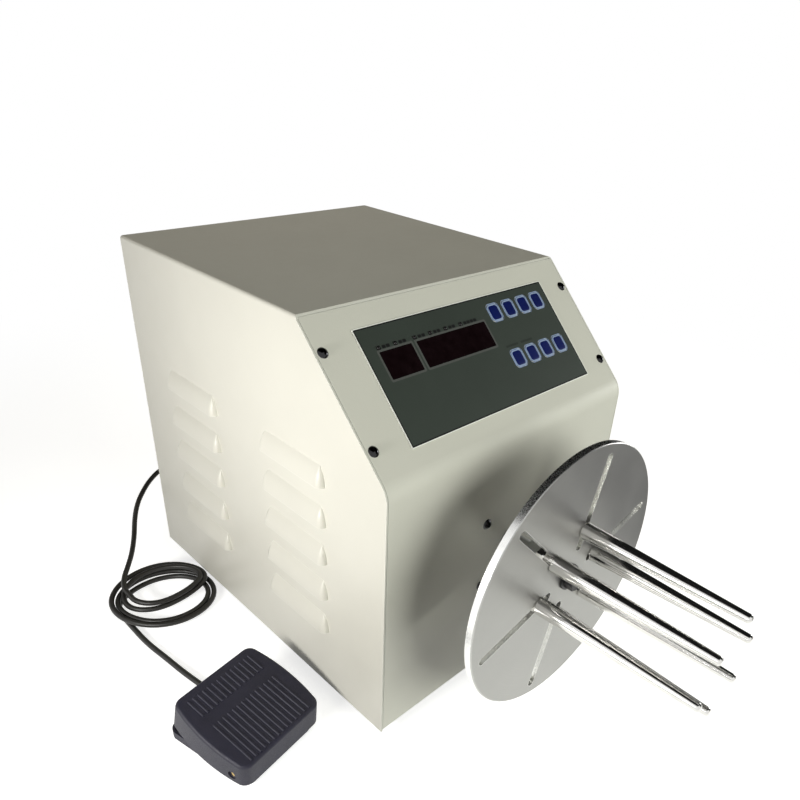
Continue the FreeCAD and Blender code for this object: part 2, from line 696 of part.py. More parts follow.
def slot_angle(index):
    """Direction of a slot in radians, seen from the front."""
    return math.radians(SLOT_START + index * 360.0 / SLOT_COUNT)


def on_disc(radius, angle, y):
    """Point at a radius and angle from the spindle."""
    return V(radius * math.cos(angle), y, SPINDLE_Z + radius * math.sin(angle))


def dowel_points(y):
    """The two dowels between disc and hub, across the first slot's direction."""
    at_r = (SPIGOT_R + HUB_R) / 2
    return [on_disc(at_r, slot_angle(0) + way * math.pi / 2, y) for way in (-1, 1)]


def make_disc():
    """Round plate with radial slots."""
    edge = 0.6
    disc = turned([(SPIGOT_R + FIT, DISC_FRONT), (DISC_R - edge, DISC_FRONT), (DISC_R, DISC_FRONT + edge),
                   (DISC_R, DISC_BACK - edge), (DISC_R - edge, DISC_BACK), (SPIGOT_R + FIT, DISC_BACK)])
    half = SLOT_W / 2
    tools = []
    for i in range(SLOT_COUNT):
        angle = slot_angle(i)
        slot = block((SLOT_IN_R + half, SLOT_OUT_R - half), (DISC_FRONT - 1, DISC_BACK + 1), (-half, half))
        for radius in (SLOT_IN_R + half, SLOT_OUT_R - half):
            slot = slot.fuse(bar(half, V(radius, DISC_FRONT - 1, 0), V(radius, DISC_BACK + 1, 0)))
        turn = Rotation(Y_AXIS, -math.degrees(angle))
        tools.append(moved(slot, Placement(V(0, 0, SPINDLE_Z), turn)))
    for point in dowel_points(DISC_FRONT + 2):
        tools.append(bar(DOWEL_R + FIT, point, point + Y_AXIS * DISC_T))
    return disc.cut(tools)


def make_hub():
    """Hub behind the disc, with its two dowels and its grub screw."""
    bore = SPINDLE_R + FIT
    boss_end = DISC_BACK + HUB_FLANGE_T + BOSS_L
    hub = turned([(bore, DISC_BACK), (HUB_R, DISC_BACK), (HUB_R, DISC_BACK + HUB_FLANGE_T - 2),
                  (BOSS_R, DISC_BACK + HUB_FLANGE_T), (BOSS_R, boss_end), (bore, boss_end)])
    grub_y = boss_end - BOSS_L / 2
    top = SPINDLE_Z + BOSS_R
    grub = bar(3.0, V(0, grub_y, SPINDLE_Z + bore), V(0, grub_y, top - 1))
    hub = hub.cut(bar(3.0 + FIT, V(0, grub_y, SPINDLE_Z), V(0, grub_y, top + 1)))
    pins = []
    for point in dowel_points(DISC_FRONT + 2):
        end = point + Y_AXIS * (DISC_T - 2 + HUB_FLANGE_T - 2)
        pins.append(bar(DOWEL_R, point, end))
        hub = hub.cut(bar(DOWEL_R + FIT, point, end))
    return [hub, grub] + pins


def make_centre_bolt():
    """Black hexagon bolt and washer in the middle of the disc."""
    washer_front = DISC_FRONT - CENTRE_WASHER_T
    washer = turned([(CENTRE_BOLT_R + RUN_FIT, washer_front), (CENTRE_WASHER_R, washer_front),
                     (CENTRE_WASHER_R, DISC_FRONT), (CENTRE_BOLT_R + RUN_FIT, DISC_FRONT)])
    bolt = hex_bolt(CENTRE_BOLT_AF, CENTRE_BOLT_HEAD, CENTRE_BOLT_R, CENTRE_BOLT_L)
    wide = CENTRE_BOLT_AF / 2 + CENTRE_BOLT_HEAD
    chamfer = Part.makeCone(wide, CENTRE_BOLT_AF / 2, wide - CENTRE_BOLT_AF / 2)
    bolt = bolt.common(chamfer.fuse(bar(wide, V(0, 0, -CENTRE_BOLT_L), V(0, 0, 0))))
    return [washer, aimed(bolt, V(0, washer_front, SPINDLE_Z), -Y_AXIS)]


def make_post(index):
    """One winding post with its stud through the slot, washer and nut."""
    angle = slot_angle(index)
    base = DISC_FRONT - POST_GAP
    tip = base - POST_L
    washer_y = DISC_BACK + POST_GAP
    nut_y = washer_y + WASHER_T
    stud_end = nut_y + NUT_H + 2
    centre = on_disc(POSTS_AT_R[index], angle, 0)
    dome = POST_TIP_R * 0.7
    post = turned([(0, tip), (POST_TIP_R, tip, dome), (POST_BASE_R, base - 1.0), (POST_BASE_R - 0.6, base),
                   (STUD_R, base), (STUD_R, stud_end), (0, stud_end)], centre.x, centre.z)
    washer = turned([(STUD_R + FIT, washer_y), (WASHER_R, washer_y), (WASHER_R, nut_y),
                     (STUD_R + FIT, nut_y)], centre.x, centre.z)
    nut = hexagon(NUT_AF, 0, NUT_H).cut(bar(STUD_R + FIT, V(0, 0, -1), V(0, 0, NUT_H + 1)))
    turn = Rotation(Y_AXIS, -math.degrees(angle)).multiply(Rotation(Z_AXIS, Y_AXIS))
    return [post, washer, moved(nut, Placement(V(centre.x, nut_y, centre.z), turn))]


# Spindle and its bearings

def make_spindle():
    """Spindle with the spigot that centres the disc and a tapped hole for the centre bolt."""
    spindle = turned([(0, DISC_FRONT + RUN_FIT), (SPIGOT_R, DISC_FRONT + RUN_FIT), (SPIGOT_R, DISC_BACK),
                      (SPINDLE_R, DISC_BACK), (SPINDLE_R, SPINDLE_END), (0, SPINDLE_END)])
    start = V(0, DISC_FRONT - 1, SPINDLE_Z)
    return spindle.cut(bar(CENTRE_BOLT_R + FIT, start, start + Y_AXIS * (CENTRE_BOLT_L + 1)))


def ring(inner, outer, y, width):
    """A plain ring about the spindle."""
    return turned([(inner, y), (outer, y), (outer, y + width), (inner, y + width)])


def make_bearing(y):
    """Outer ring, inner ring and balls of one ball bearing, its front face at y."""
    middle = V(0, y + BEARING_W / 2, SPINDLE_Z)
    groove = Part.makeTorus(BALL_PITCH_R, BALL_R + RUN_FIT, middle, Y_AXIS)
    outer = ring(OUTER_RING_R, BEARING_OUT_R, y, BEARING_W).cut(groove)
    inner = ring(SPINDLE_R + FIT, INNER_RING_R, y, BEARING_W).cut(groove)
    angles = [2 * math.pi * i / BALL_COUNT for i in range(BALL_COUNT)]
    balls = [Part.makeSphere(BALL_R, on_disc(BALL_PITCH_R, a, middle.y)) for a in angles]
    return outer, inner, balls


def make_housing():
    """Flanged bearing housing behind the front panel."""
    half = HOUSING_FLANGE / 2
    housing = front(rounded(half, half, HOUSING_CORNER_R, 0, SPINDLE_Z), HOUSING_Y, HOUSING_FLANGE_T)
    housing = housing.fuse(ring(BEARING_OUT_R, HOUSING_BOSS_R, HOUSING_Y, HOUSING_L))
    axis = V(0, HOUSING_Y, SPINDLE_Z)
    bore = SPINDLE_R + SPINDLE_CLEAR
    housing = housing.cut(bar(bore, axis - Y_AXIS, axis + Y_AXIS * HOUSING_L))
    housing = housing.fuse(ring(bore, (BEARING_OUT_R + HOUSING_BOSS_R) / 2, HOUSING_Y, SHOULDER))
    bearing = V(0, FRONT_BEARING_Y, SPINDLE_Z)
    seat = bar(BEARING_OUT_R + FIT, bearing, axis + Y_AXIS * (HOUSING_L + 1))
    relief = bar(SHOULDER_BORE_R, bearing - Y_AXIS * SHOULDER_RELIEF, bearing)
    return housing.cut([seat, relief] + [screw_hole(spot, FIT) for spot in flange_screw_spots()])


def make_rear_block():
    """Bearing block that stands on the floor."""
    rear = REAR_BLOCK_Y + REAR_BLOCK_T
    axis = V(0, REAR_BLOCK_Y, SPINDLE_Z)
    body = block((-REAR_BLOCK_R, REAR_BLOCK_R), (REAR_BLOCK_Y, rear), (FLOOR_Z, SPINDLE_Z))
    body = body.fuse(bar(REAR_BLOCK_R, axis, axis + Y_AXIS * REAR_BLOCK_T))
    middle = REAR_BLOCK_Y + REAR_BLOCK_T / 2
    foot = plan(rectangle((-REAR_FOOT_W / 2, REAR_FOOT_W / 2),
                          (middle - REAR_FOOT_D / 2, middle + REAR_FOOT_D / 2), 3.0), FLOOR_Z, REAR_FOOT_T)
    body = body.fuse(foot).removeSplitter()
    window_top = SPINDLE_Z - BEARING_OUT_R - 12
    window = front(rectangle((-18, 18), (FLOOR_Z + 22, window_top), 6.0), REAR_BLOCK_Y - 1, REAR_BLOCK_T + 2)
    body = body.cut(window)
    body = body.cut(bar(SHOULDER_BORE_R, axis - Y_AXIS, axis + Y_AXIS * (REAR_BLOCK_T + 1)))
    seat = bar(BEARING_OUT_R + FIT, V(0, REAR_BEARING_Y, SPINDLE_Z), axis + Y_AXIS * (REAR_BLOCK_T + 1))
    return body.cut([seat] + [screw_hole(spot, HOLE_CLEAR) for spot in rear_foot_spots()])


# Belt drive

def pulley(radius, bore, x, z, web):
    """Grooved pulley about the line through x, z, with a thinner web if it is a large one."""
    half = PULLEY_W / 2
    root = (radius - GROOVE_DEEP, GROOVE_HALF - GROOVE_FLANK)
    profile = [(bore, BELT_Y - half), (radius, BELT_Y - half), (radius, BELT_Y - GROOVE_HALF),
               (root[0], BELT_Y - root[1]), (root[0], BELT_Y + root[1]), (radius, BELT_Y + GROOVE_HALF),
               (radius, BELT_Y + half), (bore, BELT_Y + half)]
    shape = turned(profile, x, z)
    if web:
        recess = 4.0
        for way in (-1, 1):
            face_y = BELT_Y + way * half
            inner = bore + 12
            outer = radius - GROOVE_DEEP - 6
            shape = shape.cut(turned([(inner, face_y - way * recess), (outer, face_y - way * recess),
                                      (outer + 1, face_y + way), (inner - 1, face_y + way)], x, z))
    return shape


def make_belt():
    """V-belt round both pulleys, clear of the flanks that turn past it."""
    start = V(0, BELT_Y, SPINDLE_Z)
    end = V(MOTOR_X, BELT_Y, MOTOR_Z)
    along = end - start
    distance = along.Length
    along.normalize()
    across = V(along.z, 0, -along.x)
    lean = math.acos((BIG_PULLEY_R - SMALL_PULLEY_R) / distance)

    def rim(centre, radius, turn):
        """Point of the belt's path on a pulley, at an angle from the line of centres."""
        return centre + along * (radius * math.cos(turn)) + across * (radius * math.sin(turn))

    big = BIG_PULLEY_R - BELT_SUNK - BELT_T / 2
    small = SMALL_PULLEY_R - BELT_SUNK - BELT_T / 2
    path = Part.Wire([
        Part.Arc(rim(start, big, lean), rim(start, big, math.pi), rim(start, big, -lean)).toShape(),
        Part.makeLine(rim(start, big, -lean), rim(end, small, -lean)),
        Part.Arc(rim(end, small, -lean), rim(end, small, 0), rim(end, small, lean)).toShape(),
        Part.makeLine(rim(end, small, lean), rim(start, big, lean))])
    slope = GROOVE_FLANK / GROOVE_DEEP
    top_half = GROOVE_HALF - slope * BELT_SUNK - BELT_GAP
    root_half = GROOVE_HALF - slope * (BELT_SUNK + BELT_T) - BELT_GAP
    out = rim(V(0, 0, 0), 1.0, lean)
    spot = rim(start, big, lean)
    section = outline([(-top_half, BELT_T / 2, 0.5), (-root_half, -BELT_T / 2, 0.5),
                       (root_half, -BELT_T / 2, 0.5), (top_half, BELT_T / 2, 0.5)],
                      lambda a, b: spot + Y_AXIS * a + out * b)
    return path.makePipeShell([section], True, False)


def make_motor():
    """Motor body with end caps and a blind bore for its shaft."""
    end = MOTOR_Y + MOTOR_L
    cap = 14.0
    body = turned([(0, MOTOR_Y), (MOTOR_R - 2, MOTOR_Y), (MOTOR_R, MOTOR_Y + 2), (MOTOR_R, MOTOR_Y + cap),
                   (MOTOR_R - 2, MOTOR_Y + cap), (MOTOR_R - 2, end - cap), (MOTOR_R, end - cap),
                   (MOTOR_R, end - 3), (MOTOR_R - 3, end), (0, end)], MOTOR_X, MOTOR_Z)
    bore_end = V(MOTOR_X, MOTOR_Y + SHAFT_IN + HOLE_CLEAR, MOTOR_Z)
    tools = [bar(SHAFT_R + RUN_FIT, V(MOTOR_X, MOTOR_Y - 1, MOTOR_Z), bore_end)]
    tools += [screw_hole(spot, FIT) for spot in motor_face_spots()]
    return body.cut(tools)


def make_bracket():
    """Angle bracket with the motor screwed to its back."""
    half = MOTOR_R
    top = MOTOR_Z + half + 3
    plate = front(rectangle((MOTOR_X - half, MOTOR_X + half), (FLOOR_Z - 8, top), 8.0), PLATE_Y, BRACKET_T)
    plate = plate.common(block((0, SIDE_X), (PLATE_Y, MOTOR_Y), (FLOOR_Z, top)))
    foot = block((MOTOR_X - half, MOTOR_X + half), (MOTOR_Y - BRACKET_FOOT_D, MOTOR_Y),
                 (FLOOR_Z, FLOOR_Z + BRACKET_T))
    gusset = side([(PLATE_Y + 1, FLOOR_Z + 1), (PLATE_Y + 1, FLOOR_Z + 34),
                   (PLATE_Y - 26, FLOOR_Z + 1)], 0, 4)
    gussets = [moved(gusset, Placement(V(MOTOR_X + x, 0, 0), Rotation())) for x in (-half, half - 4)]
    shape = plate.fuse([foot] + gussets).removeSplitter()
    axis = V(MOTOR_X, PLATE_Y - 1, MOTOR_Z)
    tools = [bar(SHAFT_R + 8, axis, axis + Y_AXIS * (BRACKET_T + 2))]
    tools += [screw_hole(spot, HOLE_CLEAR) for spot in motor_face_spots() + bracket_foot_spots()]
    return shape.cut(tools)


def motor_face_spots():
    """Four bolts through the bracket into the motor."""
    spots = []
    for i in range(4):
        angle = math.radians(45 + 90 * i)
        radius = MOTOR_R - 10
        point = V(MOTOR_X + radius * math.cos(angle), PLATE_Y, MOTOR_Z + radius * math.sin(angle))
        spots.append((point, -Y_AXIS, BOLT_R, BRACKET_T + 9))
    return spots


def bracket_foot_spots():
    """Two bolts through the bracket's foot into the floor."""
    y = PLATE_Y - (BRACKET_FOOT_D - BRACKET_T) / 2
    return [(V(MOTOR_X + way * (MOTOR_R - 14), y, FLOOR_Z + BRACKET_T), Z_AXIS, BOLT_R, BRACKET_T + SHEET)
            for way in (-1, 1)]


def rear_foot_spots():
    """Two bolts through the rear block's foot into the floor."""
    y = REAR_BLOCK_Y + REAR_BLOCK_T / 2
    x = (REAR_FOOT_W / 2 + REAR_BLOCK_R) / 2
    return [(V(way * x, y, FLOOR_Z + REAR_FOOT_T), Z_AXIS, BOLT_R, REAR_FOOT_T + SHEET) for way in (-1, 1)]


def floor_bolt_spots():
    """Every bolt that goes into the floor."""
    return bracket_foot_spots() + rear_foot_spots() + transformer_spots() + board_post_spots()


def make_chassis_bolts():
    """Hexagon bolts of the motor, its bracket, the rear block and the transformer."""
    spots = motor_face_spots() + bracket_foot_spots() + rear_foot_spots() + transformer_spots()
    return [aimed(hex_bolt(BOLT_AF, BOLT_HEAD_H, radius, length), point, facing)
            for point, facing, radius, length in spots]


# Turn counter

def make_wheel():
    """Slotted wheel with a hub at the rear end of the spindle."""
    bore = SPINDLE_R + FIT
    hub_r = SPINDLE_R + 6
    wheel = turned([(bore, WHEEL_Y - 6), (hub_r, WHEEL_Y - 6), (hub_r, WHEEL_Y), (WHEEL_R, WHEEL_Y),
                    (WHEEL_R, WHEEL_Y + WHEEL_T), (bore, WHEEL_Y + WHEEL_T)])
    tools = []
    for i in range(WHEEL_SLOTS):
        slot = block((WHEEL_R - 9, WHEEL_R - 3), (WHEEL_Y - 1, WHEEL_Y + WHEEL_T + 1), (-1.5, 1.5))
        turn = Rotation(Y_AXIS, i * 360.0 / WHEEL_SLOTS)
        tools.append(moved(slot, Placement(V(0, 0, SPINDLE_Z), turn)))
    return wheel.cut(tools)


def make_sensor():
    """Fork sensor on the rear block, astride the wheel's rim."""
    face = REAR_BLOCK_Y + REAR_BLOCK_T
    low = SPINDLE_Z + WHEEL_R - 9
    top = SPINDLE_Z + WHEEL_R + 13
    bridge = SPINDLE_Z + WHEEL_R + 4
    near = (WHEEL_Y - 1 - SENSOR_LEG, WHEEL_Y - 1)
    far = (WHEEL_Y + WHEEL_T + 1, WHEEL_Y + WHEEL_T + 1 + SENSOR_LEG)
    ear = block((-10, 10), (face, near[0] + 0.01), (low, top))
    legs = block((-6, 6), near, (low, top)).fuse(block((-6, 6), far, (low, top)))
    return ear.fuse([legs, block((-6, 6), (near[0], far[1]), (bridge, top))]).removeSplitter()


# Electrics on the floor

def board_post_spots():
    """The drive board's four standoffs, whose studs go into the floor."""
    inset = 6.0
    return [(V(x, y, FLOOR_Z), Z_AXIS, 1.5, SHEET)
            for x in pair(DRIVE_X, -inset) for y in pair(DRIVE_Y, -inset)]


def make_drive_board():
    """Motor drive board with its heat sink, capacitors, relay and terminals."""
    low = FLOOR_Z + STANDOFF
    top = low + BOARD_T
    corner = V(DRIVE_X[0], DRIVE_Y[0], top)

    def part(limits, height, shift=0.0):
        """A block on the board."""
        across, along = limits
        return block((corner.x + across[0] + shift, corner.x + across[1] + shift),
                     (corner.y + along[0], corner.y + along[1]), (top, top + height))

    board = block(DRIVE_X, DRIVE_Y, (low, top))
    posts = []
    for point, facing, radius, length in board_post_spots():
        post = bar(STANDOFF_R, point, point + facing * STANDOFF)
        posts.append(post.fuse(bar(radius, point - facing * length, point)))
    (sink_start, sink_end), sink_along = SINK_AT
    pitch = (sink_end - sink_start - FIN_T) / (FIN_COUNT - 1)
    fin = ((sink_start, sink_start + FIN_T), sink_along)
    fins = [part(fin, FIN_H, pitch * i) for i in range(FIN_COUNT)]
    sink = part(SINK_AT, SINK_T).fuse(fins).removeSplitter()
    feet = [corner + V(x, y, 0) for x, y in CAN_AT]
    cans = [bar(CAN_R, foot, foot + Z_AXIS * CAN_H) for foot in feet]
    terminals = [part(TERMINAL_AT, TERMINAL_H, TERMINAL_PITCH * i) for i in range(TERMINAL_COUNT)]
    return [board, sink, part(RELAY_AT, RELAY_H), part(CHIP_AT, CHIP_H)] + posts + cans + terminals


def transformer_spots():
    """Four bolts through the transformer's feet into the floor."""
    inset = 7.0
    return [(V(x, y, FLOOR_Z + FRAME_T), Z_AXIS, BOLT_R, FRAME_T + SHEET)
            for x in pair(TRANSFORMER_X, -inset) for y in pair(TRANSFORMER_Y, -inset)]


def make_transformer():
    """Laminated core with its winding, on a footed frame."""
    x = TRANSFORMER_X
    y = TRANSFORMER_Y
    frame = plan(rectangle(x, y, 4.0), FLOOR_Z, FRAME_T)
    frame = frame.cut([screw_hole(spot, HOLE_CLEAR) for spot in transformer_spots()])
    low = FLOOR_Z + FRAME_T
    core_y = pair(y, -CORE_INSET)
    core = block(x, core_y, (low, low + TRANSFORMER_H))
    outer = pair(x, -CORE_LIMB)
    limb = pair(outer, -CORE_WINDOW)
    height = (low + CORE_LIMB, low + TRANSFORMER_H - CORE_LIMB)
    windows = [(outer[0], limb[0]), (limb[1], outer[1])]
    core = core.cut([block(window, pair(core_y, 1), height) for window in windows])
    coil = plan(rectangle(pair(outer, -COIL_GAP), pair(y, -COIL_INSET), 8.0), height[0] + COIL_GAP,
                height[1] - height[0] - 2 * COIL_GAP)
    coil = coil.cut(block(pair(limb, FIT), pair(core_y, FIT), (low, low + TRANSFORMER_H)))
    return [frame, core, coil]


# Control face, built in the frame of the slope

def key_places():
    """Centres of the keys, row by row."""
    return [(KEY_X + KEY_PITCH * i, s) for s in KEY_ROWS for i in range(KEY_COLUMNS)]


def make_overlay():
    """Dark sheet on the slope with cut-outs for windows, keys and lamps."""
    sheet = plan(rectangle(OVERLAY_X, OVERLAY_S, OVERLAY_CORNER_R), 0, OVERLAY_T)
    tools = [plan(rectangle(pair(window, FIT), pair(WINDOW_S, FIT), 1.0), -1, OVERLAY_T + 2)
             for window in WINDOW_X]
    for x, s in key_places():
        hole = rounded(KEY_W / 2 + HOLE_CLEAR, KEY_H / 2 + HOLE_CLEAR, 2.0 + HOLE_CLEAR, x, s)
        tools.append(plan(hole, -1, OVERLAY_T + 2))
    tools += [bar(LAMP_R + HOLE_CLEAR, V(x, LAMP_S, -1), V(x, LAMP_S, OVERLAY_T + 1)) for x in LAMP_X]
    return sheet.cut(tools)


def make_windows():
    """The two dark display windows in the overlay's cut-outs, on the sheet."""
    return [plan(rectangle(window, WINDOW_S, 1.0), 0, WINDOW_T) for window in WINDOW_X]


def make_key(x, s):
    """One key: its cap in the overlay's cut-out and its stem through the sheet."""
    top = OVERLAY_T + KEY_PROUD
    low = KEY_TRAVEL + RUN_FIT
    cap = plan(rounded(KEY_W / 2, KEY_H / 2, 2.0, x, s), low, top - low)
    half = KEY_STEM / 2
    end = TACT_TOP + KEY_TRAVEL + RUN_FIT
    return cap.fuse(block((x - half, x + half), (s - half, s + half), (end, low))).removeSplitter()


def make_displays():
    """Digit displays, lamps and key switches on the face of the control board."""
    inset = WINDOW_LEDGE + HOLE_CLEAR
    pieces = [block(pair(window, -inset), pair(WINDOW_S, -inset), (BOARD_TOP, -HOLE_CLEAR))
              for window in WINDOW_X]
    for x in LAMP_X:
        dome = V(x, LAMP_S, OVERLAY_T - LAMP_SUNK)
        lamp = bar(LAMP_R, V(x, LAMP_S, BOARD_TOP), dome)
        pieces.append(lamp.fuse(Part.makeSphere(LAMP_R, dome)))
    for x, s in key_places():
        body = block((x - TACT_HALF, x + TACT_HALF), (s - TACT_HALF, s + TACT_HALF),
                     (BOARD_TOP, TACT_TOP - TACT_PUSH_H))
        pieces.append(body.fuse(bar(TACT_PUSH_R, V(x, s, BOARD_TOP), V(x, s, TACT_TOP))))
    return pieces


def make_control_board():
    """Board behind the slope on four posts, with a chip, a connector and a buzzer at its back."""
    low = BOARD_TOP - BOARD_T
    board = block(BOARD_X, BOARD_S, (low, BOARD_TOP))
    posts = [bar(BOARD_POST_R, V(x, s, BOARD_TOP), V(x, s, -SHEET))
             for x in pair(BOARD_X, -BOARD_POST_INSET) for s in pair(BOARD_S, -BOARD_POST_INSET)]
    backs = [block(x, s, (low - thick, low)) for x, s, thick in (BACK_CHIP, BACK_PLUG)]
    buzzer = bar(BUZZER_R, V(*BUZZER_AT, low - BUZZER_T), V(*BUZZER_AT, low))
    return [board] + backs + [buzzer] + posts


# Rear fittings

def make_inlet():
    """Housing of the mains inlet, screwed to the rear panel."""
    half_w, half_h = INLET_BODY
    face = REAR_Y + BEZEL
    depth = INLET_DEPTH + INLET_FLOOR
    body = front(rounded(half_w, half_h, 2.0, INLET_X, INLET_Z), face - depth, depth)
    body = body.fuse(front(rounded(half_w + INLET_EAR, half_h + BEZEL_LAP, 5.0, INLET_X, INLET_Z),
                           REAR_Y, BEZEL))
    mouth_w, mouth_h = INLET_MOUTH
    low = INLET_Z - mouth_h
    high = INLET_Z + mouth_h
    left = INLET_X - mouth_w
    right = INLET_X + mouth_w
    mouth = [(left, low, 1.5), (right, low, 1.5), (right, high - INLET_CUT, 1.5),
             (right - INLET_CUT, high, 1.5), (left + INLET_CUT, high, 1.5), (left, high - INLET_CUT, 1.5)]
    body = body.removeSplitter().cut(front(mouth, face - INLET_DEPTH, INLET_DEPTH + 1))
    return body.cut([screw_hole(spot, FIT) for spot in inlet_screw_spots()])


def inlet_screw_spots():
    """Two screws through the inlet's ears and the rear panel."""
    reach = INLET_BODY[0] + INLET_SCREW_OUT
    return [(V(INLET_X + way * reach, REAR_Y + BEZEL, INLET_Z), Y_AXIS, INLET_SHANK_R, BEZEL + SHEET + 2)
            for way in (-1, 1)]


def make_inlet_screws():
    """The inlet's two screws."""
    return [aimed(dome_screw(INLET_HEAD_R, INLET_HEAD_H, radius, length), point, facing)
            for point, facing, radius, length in inlet_screw_spots()]


def make_inlet_pins():
    """Three flat pins that stand on the floor of the inlet's mouth."""
    face = REAR_Y + BEZEL
    half_x, half_z = PIN_HALF
    return [block((INLET_X + x - half_x, INLET_X + x + half_x), (face - INLET_DEPTH, face - PIN_SHORT),
                  (INLET_Z + z - half_z, INLET_Z + z + half_z)) for x, z in PIN_PLACES]


def make_switch():
    """Body of the mains rocker switch, open to the rear."""
    half_w, half_h = SWITCH_BODY
    face = REAR_Y + BEZEL
    back = face - SWITCH_DEPTH
    body = front(rounded(half_w, half_h, 1.0, INLET_X, SWITCH_Z), back, SWITCH_DEPTH)
    bezel = rounded(half_w + BEZEL_LAP, half_h + BEZEL_LAP, 1.5, INLET_X, SWITCH_Z)
    body = body.fuse(front(bezel, REAR_Y, BEZEL)).removeSplitter()
    mouth_w, mouth_h = SWITCH_MOUTH
    room = front(rounded(mouth_w, mouth_h, 0.5, INLET_X, SWITCH_Z), face - SWITCH_ROOM, SWITCH_ROOM + 1)
    blade_x = (INLET_X - BLADE_HALF[0], INLET_X + BLADE_HALF[0])
    blades = [block(blade_x, (back - BLADE_L, back), pair((SWITCH_Z + z, SWITCH_Z + z), BLADE_HALF[1]))
              for z in (-BLADE_AT, BLADE_AT)]
    pivot = rocker_pivot()
    reach = X_AXIS * (mouth_w + ROCKER_PIN_IN + 4 * RUN_FIT)
    return [body.cut([room, bar(ROCKER_PIN_R + RUN_FIT, pivot - reach, pivot + reach)])] + blades


def rocker_pivot():
    """Where the rocker turns."""
    return V(INLET_X, REAR_Y + ROCKER_OUT, SWITCH_Z)


def make_rocker():
    """Rocker of the mains switch, tilted to its off side."""
    width = SWITCH_MOUTH[0] - HOLE_CLEAR
    tip = SWITCH_MOUTH[1] - 1.0
    profile = [(3.0, -tip, 0.4), (1.5, 0), (3.0, tip, 0.4), (-1.5, tip, 0.4), (-4.5, 2.5, 0.5),
               (-4.5, -2.5, 0.5), (-1.5, -tip, 0.4)]
    rocker = side(profile, -width, 2 * width)
    reach = X_AXIS * (SWITCH_MOUTH[0] + ROCKER_PIN_IN)
    rocker = rocker.fuse(bar(ROCKER_PIN_R, -reach, reach))
    return moved(rocker, Placement(rocker_pivot(), Rotation(X_AXIS, -ROCKER_TILT)))


def make_gland():
    """Cord gland: thread through the panel, nut inside, cap and flexible tail outside."""
    start = REAR_Y - GLAND_IN
    end = REAR_Y + GLAND_L
    profile = [(0, start), (GLAND_THREAD_R, start), (GLAND_THREAD_R, REAR_Y), (GLAND_CAP_R, REAR_Y),
               (GLAND_CAP_R, REAR_Y + 4), (GLAND_CAP_R - 1.5, REAR_Y + 6),
               (GLAND_CAP_R - 2.5, REAR_Y + 11, 1.0), (GLAND_CAP_R - 4.5, REAR_Y + 13),
               (CORD_D / 2 + 0.9, end), (0, end)]
    body = turned(profile, GLAND_X, GLAND_Z)
    hole = bar(GLAND_THREAD_R + FIT, -Z_AXIS, Z_AXIS * (GLAND_NUT_T + 1))
    nut = hexagon(GLAND_NUT_AF, 0, GLAND_NUT_T).cut(hole)
    return [body, aimed(nut, V(GLAND_X, REAR_Y - SHEET - GLAND_NUT_T, GLAND_Z), Y_AXIS)]


# Foot switch, built in its own frame and then set beside the case

OPENED = Placement(V(0, PIN_V, PIN_W), Rotation(X_AXIS, TREADLE_OPEN)).multiply(
    Placement(V(0, -PIN_V, -PIN_W), Rotation()))


def make_pedal_base():
    """Tray with the hinge lugs, the spring seat and the switch's stand, and the cord's sleeve."""
    low, high = BASE_HALF
    v0, v1 = BASE_V
    wall = PEDAL_WALL
    corner_r = PEDAL_CORNER_R
    base = plan([(-low, v0, corner_r), (low, v0, corner_r), (high, v1, corner_r), (-high, v1, corner_r)],
                0, BASE_H)
    corner_r -= wall
    tray = plan([(-low + wall, v0 + wall, corner_r), (low - wall, v0 + wall, corner_r),
                 (high - wall, v1 - wall, corner_r), (-high + wall, v1 - wall, corner_r)], BASE_FLOOR, BASE_H)
    base = base.cut(tray)
    inside = BASE_FLOOR / 2
    lug = side([(PIN_V - LUG_R, inside), (PIN_V - LUG_R, PIN_W + LUG_R, LUG_R - 1),
                (PIN_V + LUG_R, PIN_W + LUG_R, LUG_R - 1), (PIN_V + LUG_R, inside)], LUG_U, LUG_T)
    base = base.fuse(both_sides(lug))
    seat_r = SPRING_R + SPRING_WIRE_R + HOLE_CLEAR
    seat = bar(seat_r + SEAT_WALL, V(0, SPRING_V, inside), V(0, SPRING_V, BASE_FLOOR + 3))
    seat = seat.cut(bar(seat_r, V(0, SPRING_V, BASE_FLOOR), V(0, SPRING_V, BASE_H)))
    stand = block((-CONTACT_HALF - 1, CONTACT_HALF + 1), pair(CONTACT_V, 1), (inside, BASE_FLOOR + STAND_H))
    base = base.fuse([seat, stand]).removeSplitter()
    hinge = bar(PIN_R + FIT, V(-high, PIN_V, PIN_W), V(high, PIN_V, PIN_W))
    inner = v1 - wall - 1.5
    neck = bar(NECK_R + FIT, V(SLEEVE_U, inner - 1, SLEEVE_W), V(SLEEVE_U, v1 + 1, SLEEVE_W))
    base = base.cut([hinge, neck])
    tip = V(SLEEVE_U, v1 + SLEEVE_L, SLEEVE_W)
    root = V(SLEEVE_U, v1, SLEEVE_W)
    sleeve = Part.makeCone(SLEEVE_W, CORD_D / 2 + 0.65, SLEEVE_L, root, Y_AXIS)
    sleeve = sleeve.fuse(bar(NECK_R, V(SLEEVE_U, inner, SLEEVE_W), tip - Y_AXIS))
    return [base, sleeve]


def side_arc(shrink):
    """Bulging side of the treadle seen from above, drawn in by an amount."""
    start = V(TREADLE_HALF[0] - shrink, TREADLE_V[0] + shrink, 0)
    middle = V(TREADLE_WIDE[1] - shrink, TREADLE_WIDE[0], 0)
    return Part.Arc(start, middle, V(TREADLE_HALF[1] - shrink, TREADLE_V[1] - shrink, 0))


def pin_half():
    """Half length of the pin, to the floor of the treadle's counterbores."""
    circle = side_arc(0).toShape().Curve
    reach = math.sqrt(circle.Radius ** 2 - (PIN_V - circle.Center.y) ** 2)
    return circle.Center.x + reach - COUNTERBORE


